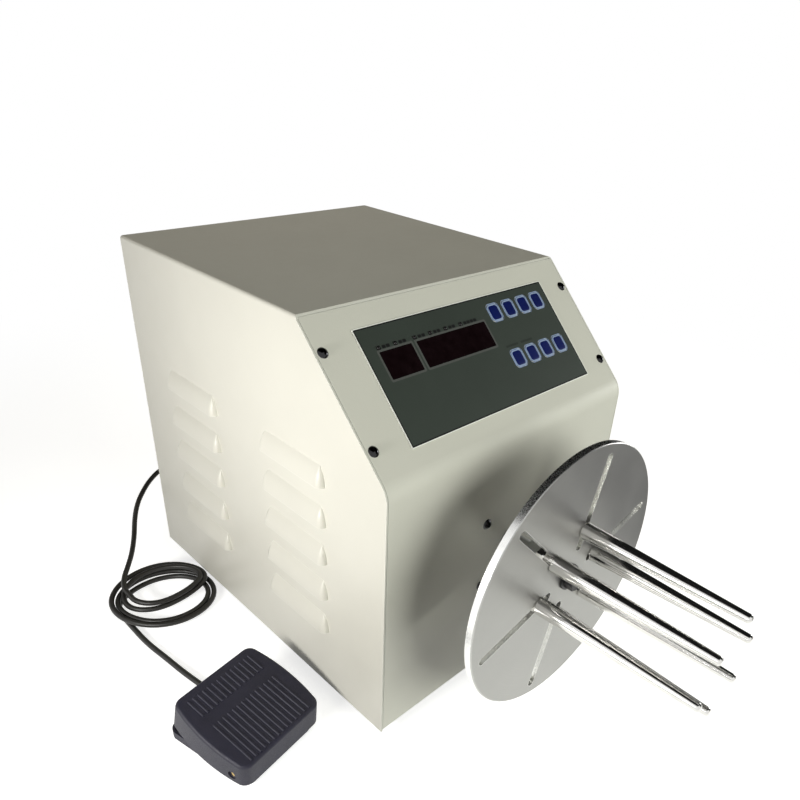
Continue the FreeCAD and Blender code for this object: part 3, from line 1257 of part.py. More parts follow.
def treadle_body(shrink):
    """Closed shape of the treadle, drawn in by an amount on every side but the open bottom."""
    right = side_arc(shrink).toShape()
    left = right.mirror(V(0, 0, 0), X_AXIS)
    start, end = (vertex.Point for vertex in right.Vertexes)
    ends = [Part.makeLine(p, V(-p.x, p.y, 0)) for p in (start, end)]
    plan_face = Part.Face(Part.Wire(Part.__sortEdges__([right, ends[1], left, ends[0]])))
    prism = plan_face.extrude(V(0, 0, TREADLE_TOP_W[1] + 10))
    low = BASE_H + SKIRT_GAP - (5 if shrink else 0)
    top0, top1 = TREADLE_TOP_V
    profile = [(TREADLE_V[0] + shrink, low), (TREADLE_V[1] - shrink, low),
               (top1 - shrink, TREADLE_TOP_W[1] - shrink), (top0 + shrink, TREADLE_TOP_W[0] - shrink)]
    body = prism.common(side(profile, -60, 120))
    upright = [edge for edge in body.Edges if edge.BoundBox.ZLength > TREADLE_TOP_W[0] - BASE_H - 8]
    return body.makeFillet(TREADLE_CORNER_R - shrink, upright)


def rim_edges(shape, level):
    """Edges of the top face, which are the ones wholly above a level."""
    return [edge for edge in shape.Edges if min(vertex.Z for vertex in edge.Vertexes) > level]


def make_treadle():
    """Hollow treadle with ribs on its top and bosses for pin, spring and switch."""
    outer = treadle_body(0)
    outer = outer.makeFillet(3.0, rim_edges(outer, TREADLE_TOP_W[0] - 1))
    shell = outer.cut(treadle_body(PEDAL_WALL))
    room = treadle_body(PEDAL_WALL / 2)
    reach = TREADLE_WIDE[1]
    boss = bar(TREADLE_BOSS_R, V(LUG_U + LUG_T + 1, PIN_V, PIN_W), V(reach, PIN_V, PIN_W))
    above = TREADLE_TOP_W[1] + 10
    under = [bar(TREADLE_BOSS_R, V(0, SPRING_V, SPRING_TOP), V(0, SPRING_V, above)),
             bar(PUSH_R, V(0, PLUNGER_V, PLUNGER_TOP), V(0, PLUNGER_V, above))]
    shell = shell.fuse([shape.common(room) for shape in both_sides(boss) + under])
    tilt = math.degrees(math.atan2(TREADLE_TOP_W[1] - TREADLE_TOP_W[0], TREADLE_TOP_V[1] - TREADLE_TOP_V[0]))
    top = Placement(V(0, TREADLE_TOP_V[0], TREADLE_TOP_W[0]), Rotation(X_AXIS, tilt))
    half = RIB_W / 2
    ribs = []
    for low, high in RIB_ZONES:
        for i in range(RIB_COUNT):
            u = -RIB_SPAN / 2 + RIB_SPAN * i / (RIB_COUNT - 1)
            rib = front([(u - half, -0.3), (u + half, -0.3), (u + half - 0.7, RIB_H, 0.3),
                         (u - half + 0.7, RIB_H, 0.3)], low - TREADLE_TOP_V[0], high - low)
            ribs.append(moved(rib, top))
    shell = shell.fuse(ribs)
    tools = [bar(PIN_R + RUN_FIT, V(-reach, PIN_V, PIN_W), V(reach, PIN_V, PIN_W))]
    tools += both_sides(bar(2 * PIN_R, V(pin_half(), PIN_V, PIN_W), V(reach, PIN_V, PIN_W)))
    return moved(shell.cut(tools), OPENED)


PLUNGER_REST = PLUNGER_TOP + (PLUNGER_V - PIN_V) * math.sin(math.radians(TREADLE_OPEN)) - PLUNGER_GAP


def make_pedal_switch():
    """Body of the foot switch's contact block, with the bore that its plunger runs in."""
    top = PLUNGER_TOP - 4
    body = block((-CONTACT_HALF, CONTACT_HALF), CONTACT_V, (BASE_FLOOR + STAND_H, top))
    bore = bar(PLUNGER_R + RUN_FIT, V(0, PLUNGER_V, PLUNGER_REST - PLUNGER_L - 4.5), V(0, PLUNGER_V, top + 1))
    return body.cut(bore)


def make_plunger():
    """Plunger of the contact block."""
    low = V(0, PLUNGER_V, PLUNGER_REST - PLUNGER_L)
    return bar(PLUNGER_R, low, V(0, PLUNGER_V, PLUNGER_REST))


# Round wires and cords

def biarc(start, start_way, end, end_way):
    """Two arcs between two points, tangent to a direction at each."""
    gap = end - start
    total = start_way + end_way
    bend = 2 * (1 - start_way.dot(end_way))
    lean = gap.dot(total)
    reach = (math.sqrt(lean ** 2 + bend * gap.dot(gap)) - lean) / bend
    near = start + start_way * reach
    far = end - end_way * reach
    joint = (near + far) / 2
    return [(start, near, joint), (joint, far, end)]


def arc_middle(start, corner, end):
    """Middle of the arc that is tangent to both legs of a corner."""
    chord = (start + end) / 2
    weight = (start - chord).Length / (start - corner).Length
    return (chord + corner * weight) / (1 + weight)


def wire_tube(edges, radius, start, way):
    """Round tube along edges that run on smoothly from start, and its length."""
    path = Part.Wire(edges)
    section = Part.Wire(Part.makeCircle(radius, start, way))
    return path.makePipeShell([section], True, False), path.Length


def wound(stations, radius, stub, name):
    """One unbroken tube through stations (point, direction), with straight stubs at both ends."""
    first, first_way = stations[0]
    last, last_way = stations[-1]
    start = first - first_way * stub
    edges = [Part.makeLine(start, first)]
    for (a, a_way), (b, b_way) in zip(stations[:-1], stations[1:]):
        for p, corner, q in biarc(a, a_way, b, b_way):
            edges.append(Part.Arc(p, arc_middle(p, corner, q), q).toShape())
    edges.append(Part.makeLine(last, last + last_way * stub))
    tube, length = wire_tube(edges, radius, start, first_way)
    gap = least_gap(edges, radius)
    tightest = min(edge.Curve.Radius for edge in edges[1:-1])
    print(f"{name}: {length:.1f} long, tightest radius {tightest:.1f}, least gap to itself {gap:.2f}")
    report_volume(name, tube, length, radius)
    return tube


def least_gap(edges, radius):
    """Smallest distance between two stretches of a tube that aren't neighbours along it."""
    step = radius / 2
    points = []
    along = 0.0
    for edge in edges:
        count = max(2, int(edge.Length / step))
        for point in edge.discretize(Number=count + 1)[:-1]:
            points.append((along, point))
            along += edge.Length / count
    least = 1e9
    skip = radius * math.pi * 2
    for i, (at, point) in enumerate(points):
        for other_at, other in points[i + 1:]:
            if other_at - at > skip:
                least = min(least, point.distanceToPoint(other))
    return least - 2 * radius


def report_volume(name, tube, length, radius):
    """Print a tube's volume beside its section times its length."""
    print(f"{name}: volume {tube.Volume:.0f}, section times length {math.pi * radius ** 2 * length:.0f}")


def routed(points, radius, name):
    """Tube along straight runs joined by tangent arcs, as large as the runs allow."""
    edges = []
    radii = []
    at = points[0]
    for before, corner, after in zip(points[:-2], points[1:-1], points[2:]):
        back = before - corner
        ahead = after - corner
        reach = 0.45 * min(back.Length, ahead.Length)
        turn = math.pi - back.getAngle(ahead)
        radii.append(reach / math.tan(turn / 2))
        back.normalize()
        ahead.normalize()
        start = corner + back * reach
        end = corner + ahead * reach
        edges.append(Part.makeLine(at, start))
        edges.append(Part.Arc(start, arc_middle(start, corner, end), end).toShape())
        at = end
    edges.append(Part.makeLine(at, points[-1]))
    tube, length = wire_tube(edges, radius, points[0], points[1] - points[0])
    print(f"{name}: {length:.1f} long, radii " + " ".join(f"{r:.0f}" for r in radii))
    report_volume(name, tube, length, radius)
    return tube


def make_spring():
    """Compression spring under the treadle, with closed ends."""
    low = BASE_FLOOR + SPRING_WIRE_R + 0.1
    centre = V(0, SPRING_V, 0)
    lift = (SPRING_V - PIN_V) * math.sin(math.radians(TREADLE_OPEN))
    top = SPRING_TOP + lift - SPRING_WIRE_R - 1.2
    stations = []
    quarters = 4 * SPRING_TURNS
    close = 4
    pitch = (top - low - 2 * (2 * SPRING_WIRE_R + 0.6)) / (quarters - 2 * close)
    height = low
    for i in range(quarters + 1):
        angle = math.pi / 2 * i
        point = centre + V(SPRING_R * math.cos(angle), SPRING_R * math.sin(angle), height)
        stations.append((point, V(-math.sin(angle), math.cos(angle), 0)))
        closed = i < close or i >= quarters - close
        height += (2 * SPRING_WIRE_R + 0.6) / close if closed else pitch
    return wound(stations, SPRING_WIRE_R, 2 * SPRING_WIRE_R, "pedal_spring")


# Stations of the coil, one each quarter turn, anticlockwise from above: the side of the coil that
# it is on, its place and its height. The cord comes down from the case on top and leaves at the foot.
COIL = [("west", -232.5, 109, 18.3), ("south", -203, 85, 15.2), ("east", -159.5, 104, 15.0),
        ("north", -205, 141, 15.4), ("west", -238.5, 111, 11.2), ("south", -203, 84.5, 9.0),
        ("east", -153, 106, 9.6), ("north", -205, 149, 14.8), ("west", -251.5, 111, 10.0),
        ("south", -199, 54, 8.7), ("east", -152, 99, CORD_LOW), ("north", -205, 143.5, 8.4),
        ("west", -245.5, 111, 9.1), ("south", -199, 60, 8.7), ("east", -158.5, 98, CORD_LOW),
        ("north", -205, 139, CORD_LOW), ("west", -246, 111, CORD_LOW)]
HEADING = {"west": V(0, -1, 0), "south": V(1, 0, 0), "east": V(0, 1, 0), "north": V(-1, 0, 0)}


def coil_stations():
    """The coil's stations as points and directions."""
    return [(V(x, y, z), HEADING[name]) for name, x, y, z in COIL]


def rear_route():
    """From the gland, round behind the case and down on to the coil."""
    start = V(GLAND_X, REAR_Y + GLAND_L, GLAND_Z)
    points = [(-98, 231, 73), (-107, 247, 70.5), (-124, 250, 66), (-141, 242, 62), (-156, 229, 59.5),
              (-170, 217, 53), (-180, 206, 42), (-189, 191, 32), (-203, 168, 28), (-215.5, 151, 26.5),
              (-226.5, 139, 23), (-232.5, 127.5, 18.3)]
    first, first_way = coil_stations()[0]
    return [start] + [V(*p) for p in points] + [first - first_way * CORD_D]


def pedal_route():
    """From the foot of the coil along the table to the foot switch."""
    last, last_way = coil_stations()[-1]
    tip = V(SLEEVE_U, BASE_V[1] + SLEEVE_L, SLEEVE_W)
    points = [(-246, 84, CORD_LOW), (-245.5, 54, CORD_LOW), (-241, 22, CORD_LOW)]
    ahead = [PEDAL.multVec(tip + Y_AXIS * 22), PEDAL.multVec(tip)]
    return [last + last_way * CORD_D] + [V(*p) for p in points] + ahead


def on_slope(shapes):
    """Shapes of the control face set on the slope."""
    return [moved(shape, SLOPE) for shape in shapes]


def beside_case(shapes):
    """Shapes of the foot switch set on the table."""
    return [moved(shape, PEDAL) for shape in shapes]


os.makedirs("parts", exist_ok=True)

save("cover", make_cover())
save("front_panel", make_front_panel())
save("rear_panel", make_rear_panel())
save("base_pan", make_base_pan())
save("case_feet", *make_feet())
save("case_screws", *(make_case_screws() + make_inlet_screws()))
panel_screw = dome_screw(PANEL_HEAD_R, PANEL_HEAD_H, PANEL_SHANK_R, PANEL_SHANK_L)
save("panel_screws", *[aimed(panel_screw, spot[0], spot[1]) for spot in panel_screw_spots()])
flange_screw = dome_screw(FLANGE_HEAD_R, FLANGE_HEAD_H, FLANGE_SHANK_R, flange_screw_spots()[0][3])
save("flange_screws", *[aimed(flange_screw, spot[0], spot[1]) for spot in flange_screw_spots()])

save("winding_disc", make_disc())
save("disc_hub", *make_hub())
save("centre_bolt", *make_centre_bolt())
for number in range(SLOT_COUNT):
    save(f"winding_post_{number + 1}", *make_post(number))

save("spindle", make_spindle())
save("bearing_housing", make_housing())
save("rear_bearing_block", make_rear_block())
front_outer, front_inner, front_balls = make_bearing(FRONT_BEARING_Y)
rear_outer, rear_inner, rear_balls = make_bearing(REAR_BEARING_Y)
save("bearing_outer_rings", front_outer, rear_outer)
save("bearing_inner_rings", front_inner, rear_inner)
save("bearing_balls", *(front_balls + rear_balls))

save("spindle_pulley", pulley(BIG_PULLEY_R, SPINDLE_R + FIT, 0, SPINDLE_Z, True))
save("motor_pulley", pulley(SMALL_PULLEY_R, SHAFT_R + FIT, MOTOR_X, MOTOR_Z, False))
save("drive_belt", make_belt())
save("motor_body", make_motor())
shaft_front = V(MOTOR_X, BELT_Y - PULLEY_W / 2 - SHAFT_OUT, MOTOR_Z)
save("motor_shaft", bar(SHAFT_R, shaft_front, V(MOTOR_X, MOTOR_Y + SHAFT_IN, MOTOR_Z)))
save("motor_bracket", make_bracket())
save("chassis_bolts", *make_chassis_bolts())
save("count_wheel", make_wheel())
save("count_sensor", make_sensor())
save("drive_board", *make_drive_board())
save("transformer", *make_transformer())

save("panel_overlay", *on_slope([make_overlay()]))
save("display_windows", *on_slope(make_windows()))
save("display_modules", *on_slope(make_displays()))
save("control_board", *on_slope(make_control_board()))
for number, (key_x, key_s) in enumerate(key_places()):
    save(f"key_{number + 1}", *on_slope([make_key(key_x, key_s)]))

save("mains_inlet", make_inlet())
save("inlet_pins", *make_inlet_pins())
save("power_switch", *make_switch())
save("power_rocker", make_rocker())
save("cord_gland", *make_gland())

save("pedal_base", *beside_case(make_pedal_base()))
save("pedal_treadle", *beside_case([make_treadle()]))
save("pedal_pin", *beside_case([bar(PIN_R, V(-pin_half(), PIN_V, PIN_W), V(pin_half(), PIN_V, PIN_W))]))
save("pedal_spring", *beside_case([make_spring()]))
save("pedal_switch", *beside_case([make_pedal_switch()]))
save("pedal_plunger", *beside_case([make_plunger()]))

save("cord_rear", routed(rear_route(), CORD_D / 2, "cord_rear"))
save("cord_coil", wound(coil_stations(), CORD_D / 2, CORD_D, "cord_coil"))
save("cord_pedal", routed(pedal_route(), CORD_D / 2, "cord_pedal"))
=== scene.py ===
# %% [markdown]
# Cable winding machine: a grey bench case with a slotted winding disc on its front, six polished
# posts, a dark control panel on the sloped face and a foot switch on a coiled black cord.
# The measured model gives every piece its place and size. This lesson gives each surface its
# finish, and models three things over again: the cord as one smooth curve, the key caps with their
# rims, and the cord's gland with its ringed tail. All lengths are metres, and the frame is the
# measured model's: the table is z = 0, the front faces -Y and the disc stands out of it.

# %% Load the measured model
import bpy
import json
import math
from mathutils import Matrix, Vector

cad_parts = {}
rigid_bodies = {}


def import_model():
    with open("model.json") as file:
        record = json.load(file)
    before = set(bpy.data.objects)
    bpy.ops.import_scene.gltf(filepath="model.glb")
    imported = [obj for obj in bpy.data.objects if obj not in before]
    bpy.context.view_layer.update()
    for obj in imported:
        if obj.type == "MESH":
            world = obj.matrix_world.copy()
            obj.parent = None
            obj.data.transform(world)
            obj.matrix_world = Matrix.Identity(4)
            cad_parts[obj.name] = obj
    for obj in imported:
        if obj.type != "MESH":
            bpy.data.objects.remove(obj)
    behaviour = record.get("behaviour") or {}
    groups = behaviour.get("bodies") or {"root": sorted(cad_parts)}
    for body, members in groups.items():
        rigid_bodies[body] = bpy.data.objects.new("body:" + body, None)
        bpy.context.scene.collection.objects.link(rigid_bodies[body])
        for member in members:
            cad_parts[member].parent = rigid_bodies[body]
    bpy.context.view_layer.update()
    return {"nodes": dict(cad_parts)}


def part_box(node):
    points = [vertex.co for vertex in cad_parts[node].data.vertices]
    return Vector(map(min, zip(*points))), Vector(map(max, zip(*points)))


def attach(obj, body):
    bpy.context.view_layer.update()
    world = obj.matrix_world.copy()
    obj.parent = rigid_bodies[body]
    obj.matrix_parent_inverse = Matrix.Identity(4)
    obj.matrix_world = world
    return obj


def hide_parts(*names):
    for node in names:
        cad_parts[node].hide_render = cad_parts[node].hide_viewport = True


for leftover in list(bpy.data.objects):
    bpy.data.objects.remove(leftover)
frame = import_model()
nodes = frame["nodes"]

# %% [markdown]
# The camera looks down on the front left corner, close by, with a fairly wide lens. It could be
# aimed with a constraint, but a camera that was turned a little in the hand needs its own roll, so
# its three axes are worked out from a heading, a height above the horizon and that roll.

# %% Camera
CAMERA_PLACE = Vector((-0.4314, -0.4970, 0.5304))
CAMERA_HEADING = math.radians(-47.25)
CAMERA_PITCH = math.radians(30.73)
CAMERA_ROLL = math.radians(3.90)
SENSOR_WIDTH = 36.0
LENS = 32.05
SHIFT = (-0.0493, 0.0859)


def camera_axes(heading, pitch, roll):
    """Rotation whose columns point right, up and back from the camera."""
    flat = math.cos(pitch)
    back = Vector((math.sin(heading) * flat, -math.cos(heading) * flat, math.sin(pitch)))
    right = Vector((0, 0, 1)).cross(back).normalized()
    up = back.cross(right)
    turned_right = right * math.cos(roll) + up * math.sin(roll)
    turned_up = up * math.cos(roll) - right * math.sin(roll)
    return Matrix((turned_right, turned_up, back)).transposed().to_4x4()


camera_data = bpy.data.cameras.new("camera")
camera_data.sensor_width = SENSOR_WIDTH
camera_data.lens = LENS
camera_data.shift_x, camera_data.shift_y = SHIFT
camera = bpy.data.objects.new("camera", camera_data)
axes = camera_axes(CAMERA_HEADING, CAMERA_PITCH, CAMERA_ROLL)
camera.matrix_world = Matrix.Translation(CAMERA_PLACE) @ axes
bpy.context.scene.collection.objects.link(camera)
bpy.context.scene.camera = camera
bpy.context.scene.view_settings.view_transform = "Standard"
print(f"camera: {LENS} mm lens, {CAMERA_PLACE.length:.2f} m from the frame's start")

# %% [markdown]
# The foot switch hangs on one round cord. It leaves the gland behind the case, comes round the
# corner, drops on to a loose coil of four turns and runs along the table to the foot switch.
# A curve with a round bevel is the natural way to make it: its control points are few, and the
# line between them stays smooth. The two free stretches follow given points. The coil's
# turns come from a formula: each quarter turn is an ellipse between two stations. A curve's box
# counts every point's radius, so these stay small and a deep bevel makes up the thickness.

# %% Cord of the foot switch
CORD_D = 0.0055
CORD_LOW = 0.00285      # the cord's middle where it lies on the table
PEDAL_PLACE = (-0.230, -0.097, 0)
PEDAL_TURN = math.radians(10.5)
PEDAL = Matrix.Translation(PEDAL_PLACE) @ Matrix.Rotation(PEDAL_TURN, 4, "Z")
SLEEVE_TIP = Vector((0.008, 0.0655, 0.0045))
BEFORE_SLEEVE = Vector((0.008, 0.0875, 0.0045))
REAR_ROUTE = [(-0.098, 0.213, 0.073), (-0.098, 0.231, 0.073), (-0.107, 0.247, 0.0705),
              (-0.124, 0.250, 0.066), (-0.141, 0.242, 0.062), (-0.156, 0.229, 0.0595),
              (-0.170, 0.217, 0.053), (-0.180, 0.206, 0.042), (-0.189, 0.191, 0.032),
              (-0.203, 0.168, 0.028), (-0.2155, 0.151, 0.0265), (-0.2265, 0.139, 0.023),
              (-0.2325, 0.1275, 0.0183), (-0.2325, 0.1145, 0.0183)]
COIL = [("west", -0.2325, 0.109, 0.0183), ("south", -0.203, 0.085, 0.0152),
        ("east", -0.1595, 0.104, 0.0150), ("north", -0.205, 0.141, 0.0154),
        ("west", -0.2385, 0.111, 0.0112), ("south", -0.203, 0.0845, 0.0090),
        ("east", -0.153, 0.106, 0.0096), ("north", -0.205, 0.149, 0.0148),
        ("west", -0.2515, 0.111, 0.0100), ("south", -0.199, 0.054, 0.0087),
        ("east", -0.152, 0.099, CORD_LOW), ("north", -0.205, 0.1435, 0.0084),
        ("west", -0.2455, 0.111, 0.0091), ("south", -0.199, 0.060, 0.0087),
        ("east", -0.1585, 0.098, CORD_LOW), ("north", -0.205, 0.139, CORD_LOW),
        ("west", -0.246, 0.111, CORD_LOW)]
HEADING = {"west": Vector((0, -1, 0)), "south": Vector((1, 0, 0)),
           "east": Vector((0, 1, 0)), "north": Vector((-1, 0, 0))}
PEDAL_ROUTE = [(-0.246, 0.1055, CORD_LOW), (-0.246, 0.084, CORD_LOW), (-0.2455, 0.054, CORD_LOW),
               (-0.241, 0.022, CORD_LOW)]
POINTS_PER_QUARTER = 3
CORD_BEVEL = 2.0        # a point's radius times this is the cord's radius


def quarter_turn(start, heading, end):
    """Control points of a quarter of an ellipse that leaves start along heading and ends at end."""
    corner = start + heading * (end - start).dot(heading)
    centre = start + end - corner
    step = math.pi / 2 / POINTS_PER_QUARTER
    swell = 1 / math.cos(step / 2)
    points = []
    for i in range(POINTS_PER_QUARTER):
        angle = (i + 0.5) * step
        point = centre + ((start - centre) * math.cos(angle) + (end - centre) * math.sin(angle)) * swell
        point.z = start.z + (end.z - start.z) * angle / (math.pi / 2)
        points.append(point)
    return points


def coil_points():
    """Control points of all the coil's turns, from the case down to the table."""
    points = []
    for (side, *start), (_, *end) in zip(COIL[:-1], COIL[1:]):
        points += quarter_turn(Vector(start), HEADING[side], Vector(end))
    return points


def spline_curve(name, points, diameter):
    """A round cord of a diameter along one smooth spline."""
    curve = bpy.data.curves.new(name, "CURVE")
    curve.dimensions = "3D"
    curve.bevel_depth = CORD_BEVEL
    curve.bevel_resolution = 6
    curve.resolution_u = 12
    curve.use_fill_caps = True
    spline = curve.splines.new("NURBS")
    spline.points.add(len(points) - 1)
    for spot, point in zip(spline.points, points):
        spot.co = (*point, 1)
        spot.radius = diameter / 2 / CORD_BEVEL
    spline.order_u = 3
    spline.use_endpoint_u = True
    piece = bpy.data.objects.new(name, curve)
    bpy.context.scene.collection.objects.link(piece)
    return piece


into_sleeve = [PEDAL @ BEFORE_SLEEVE, PEDAL @ SLEEVE_TIP]
from_gland = [Vector(point) for point in REAR_ROUTE]
to_pedal = [Vector(point) for point in PEDAL_ROUTE]
cord_points = from_gland + coil_points() + to_pedal + into_sleeve
cord = spline_curve("foot_switch_cord", cord_points, CORD_D)
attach(cord, "root")
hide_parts("cord_rear", "cord_coil", "cord_pedal")
print(f"cord: {len(cord_points)} control points, {CORD_D * 1000} mm thick")

# %% [markdown]
# The machine stands on a white table in front of white. The table keeps a soft shadow, so it is
# lit like any surface, and what the camera and mirrors see of it is lifted with plain white light
# until the empty table is as white as the background. Further out it fades to pure white. To the
# object it gives back little light, as a grey table does, so that shaded sides stay deep.

# %% Table and background
TABLE_SIZE = 6.0
TABLE_WHITE = (0.80, 0.80, 0.79, 1)
TABLE_BOUNCE = (0.25, 0.25, 0.24, 1)
TABLE_LIFT = 0.72
FADE_START = 0.5
FADE_END = 1.1
SQUARE = ((-1, -1), (1, -1), (1, 1), (-1, 1))


def place(tree, kind, inputs=None, **settings):
    """Add a node, set its properties, and fill its inputs with values or with other sockets."""
    made = tree.nodes.new(kind)
    for name, value in settings.items():
        setattr(made, name, value)
    for name, value in (inputs or {}).items():
        if isinstance(value, bpy.types.NodeSocket):
            tree.links.new(value, made.inputs[name])
        else:
            made.inputs[name].default_value = value
    return made


def maths(tree, operation, *values, clamp=False):
    """A Math node on one, two or three values or sockets, and its result."""
    made = place(tree, "ShaderNodeMath", dict(enumerate(values)), operation=operation, use_clamp=clamp)
    return made.outputs[0]


def seen_directly(tree):
    """1 for the rays that show the background: the camera's own, and those in metal and glass."""
    path = place(tree, "ShaderNodeLightPath").outputs
    mirrored = maths(tree, "MAXIMUM", path["Is Glossy Ray"], path["Is Transmission Ray"])
    return maths(tree, "MAXIMUM", path["Is Camera Ray"], mirrored)


def table_material():
    """White table: lit and shadowed, lifted to white for the rays that show the background."""
    material = bpy.data.materials.new("white_table")
    material.use_nodes = True
    tree = material.node_tree
    tree.nodes.remove(tree.nodes["Principled BSDF"])
    spot = place(tree, "ShaderNodeTexCoord").outputs["Object"]
    away = place(tree, "ShaderNodeVectorMath", {0: spot}, operation="LENGTH").outputs["Value"]
    limits = {"Value": away, "From Min": FADE_START, "From Max": FADE_END}
    fade = place(tree, "ShaderNodeMapRange", limits, interpolation_type="SMOOTHSTEP").outputs[0]
    lit = place(tree, "ShaderNodeBsdfDiffuse", {"Color": TABLE_WHITE}).outputs[0]
    lift = place(tree, "ShaderNodeEmission", {"Strength": TABLE_LIFT}).outputs[0]
    near = place(tree, "ShaderNodeAddShader", {0: lit, 1: lift}).outputs[0]
    white = place(tree, "ShaderNodeEmission").outputs[0]
    shown = place(tree, "ShaderNodeMixShader", {0: fade, 1: near, 2: white}).outputs[0]
    bounce = place(tree, "ShaderNodeBsdfDiffuse", {"Color": TABLE_BOUNCE}).outputs[0]
    whole = place(tree, "ShaderNodeMixShader", {0: seen_directly(tree), 1: bounce, 2: shown}).outputs[0]
    tree.links.new(whole, tree.nodes["Material Output"].inputs["Surface"])
    return material


def sheet_mesh(name, width, depth, matrix):
    """A flat rectangle in the XY plane of a matrix."""
    mesh = bpy.data.meshes.new(name)
    corners = [(x * width / 2, y * depth / 2, 0) for x, y in SQUARE]
    mesh.from_pydata(corners, [], [(0, 1, 2, 3)])
    piece = bpy.data.objects.new(name, mesh)
    piece.matrix_world = matrix
    bpy.context.scene.collection.objects.link(piece)
    return piece


table = sheet_mesh("table", TABLE_SIZE, TABLE_SIZE, Matrix.Identity(4))
table.data.materials.append(table_material())

world = bpy.data.worlds.new("studio")
world.use_nodes = True
bpy.context.scene.world = world
AMBIENT_COLOUR = (0.94, 0.97, 0.90, 1)
AMBIENT = 0.10
background = world.node_tree.nodes["Background"]
ambient = place(world.node_tree, "ShaderNodeBackground", {"Color": AMBIENT_COLOUR, "Strength": AMBIENT})
background.inputs["Color"].default_value = (1, 1, 1, 1)
background.inputs["Strength"].default_value = 1
choice = {0: seen_directly(world.node_tree), 1: ambient.outputs[0], 2: background.outputs[0]}
sky = place(world.node_tree, "ShaderNodeMixShader", choice)
world.node_tree.links.new(sky.outputs[0], world.node_tree.nodes["World Output"].inputs["Surface"])
print(f"table {TABLE_SIZE:.0f} m wide, plain white from {FADE_END} m outwards")

# %% [markdown]
# Light: a small lamp close by on the left lights the case's side, and a wide one in front, a little
# to the right, lights the front and the slope, so that the disc throws a soft shadow to its left and
# down. Only a weak lamp stands above, which is why the top looks dark, and a low one behind on the
# right keeps the rear and the right side readable. Dark cards overhead, on the right, behind and on
# the table are what polished and satin metal show as dark bands. A photographer shapes reflections
# with black cards in the same way. Only mirrored rays see these, so they take no light away. One
# small bright card puts a point of light on polished pieces.

# %% Lamps and cards
def aimed_at(spot, target):
    """Matrix at spot whose -Z axis points at target."""
    way = Vector(target) - Vector(spot)
    return Matrix.Translation(spot) @ way.to_track_quat("-Z", "Y").to_matrix().to_4x4()


def lamp(name, spot, target, size, watts, colour, spread=180, mirrored=True):
    """A rectangular lamp at spot that shines at target, within a spread in degrees."""
    data = bpy.data.lights.new(name, "AREA")
    data.shape = "RECTANGLE"
    data.size, data.size_y = size
    data.energy = watts
    data.color = colour
    data.spread = math.radians(spread)
    made = bpy.data.objects.new(name, data)
    made.matrix_world = aimed_at(spot, target)
    made.visible_glossy = mirrored
    bpy.context.scene.collection.objects.link(made)


def card(name, spot, target, size, brightness):
    """A sheet of an even brightness that shows in reflections alone."""
    sheet = sheet_mesh(name, *size, aimed_at(spot, target))
    material = bpy.data.materials.new(name)
    material.use_nodes = True
    tree = material.node_tree
    tree.nodes.remove(tree.nodes["Principled BSDF"])
    glow = place(tree, "ShaderNodeEmission", {"Strength": brightness}).outputs[0]
    tree.links.new(glow, tree.nodes["Material Output"].inputs["Surface"])
    sheet.data.materials.append(material)
    sheet.visible_camera = False
    sheet.visible_diffuse = False
    sheet.visible_shadow = False


MIDDLE_OF_CASE = (0, -0.05, 0.18)
LEFT_SIDE = (-0.15, -0.08, 0.28)
SLOPE_MIDDLE = (0, -0.13, 0.32)
TOP_MIDDLE = (0.02, 0.06, 0.36)
BLACK, GREY, BRIGHT = 0.01, 0.33, 14.0
DAYLIGHT = (1.0, 0.985, 0.955)
COOL = (0.965, 1.0, 0.935)
WARM = (1.0, 0.89, 0.79)
SOFT_WHITE = (1.0, 0.98, 0.94)
lamp("left_lamp", (-0.70, -0.15, 0.31), LEFT_SIDE, (0.25, 0.09), 1.9, DAYLIGHT, spread=130)
lamp("front_lamp", (0.82, -2.39, 0.95), MIDDLE_OF_CASE, (2.8, 1.4), 56.0, COOL, mirrored=False)
lamp("top_lamp", (0.10, 0.45, 1.0), TOP_MIDDLE, (0.4, 0.4), 1.0, WARM, mirrored=False)
lamp("rear_lamp", (1.30, 1.30, 0.19), MIDDLE_OF_CASE, (0.8, 0.24), 16.0, SOFT_WHITE, mirrored=False)
card("card_above", (0.3, 0.2, 1.5), (0.3, 0.2, 0.0), (2.4, 2.6), BLACK)
card("card_right", (1.5, 0.4, 0.75), (0.0, 0.4, 0.75), (2.6, 1.5), BLACK)
card("card_behind", (0.3, 1.9, 0.95), (0.3, 0.0, 0.95), (2.8, 1.3), BLACK)
card("card_slope", (1.03, -1.06, 0.90), SLOPE_MIDDLE, (1.8, 1.4), BLACK)
card("card_low", (0.80, -0.25, 0.004), (0.80, -0.25, 1.0), (1.1, 1.6), GREY)
card("glint", (1.30, -0.55, 0.33), SLOPE_MIDDLE, (0.36, 0.28), BRIGHT)

# %% [markdown]
# Paint, plastic and metal share a few effects, and each of them is a shader node group that is
# built once: an even speckle, marks from turning on a lathe, lightly rubbed edges, settled dust and
# printed frames. A group gives out a plain value between 0 and 1, and each material decides what
# that value does to its own colour, roughness or bump.

# %% Helpers for shader groups
def srgb(red, green, blue):
    """A colour as it is read from a screen, 0 to 255, in the light values that shaders use."""
    values = []
    for channel in (red, green, blue):
        share = channel / 255
        values.append(share / 12.92 if share <= 0.04045 else ((share + 0.055) / 1.055) ** 2.4)
    return (*values, 1)


def new_group(name, inputs, output):
    """A shader node group with number or vector inputs, given by their starting values."""
    tree = bpy.data.node_groups.new(name, "ShaderNodeTree")
    for label, value in inputs.items():
        kind = "NodeSocketVector" if isinstance(value, tuple) else "NodeSocketFloat"
        tree.interface.new_socket(label, in_out="INPUT", socket_type=kind).default_value = value
    tree.interface.new_socket(output, in_out="OUTPUT", socket_type="NodeSocketFloat")
    given = tree.nodes.new("NodeGroupInput").outputs
    result = tree.nodes.new("NodeGroupOutput").inputs[output]
    return tree, given, result


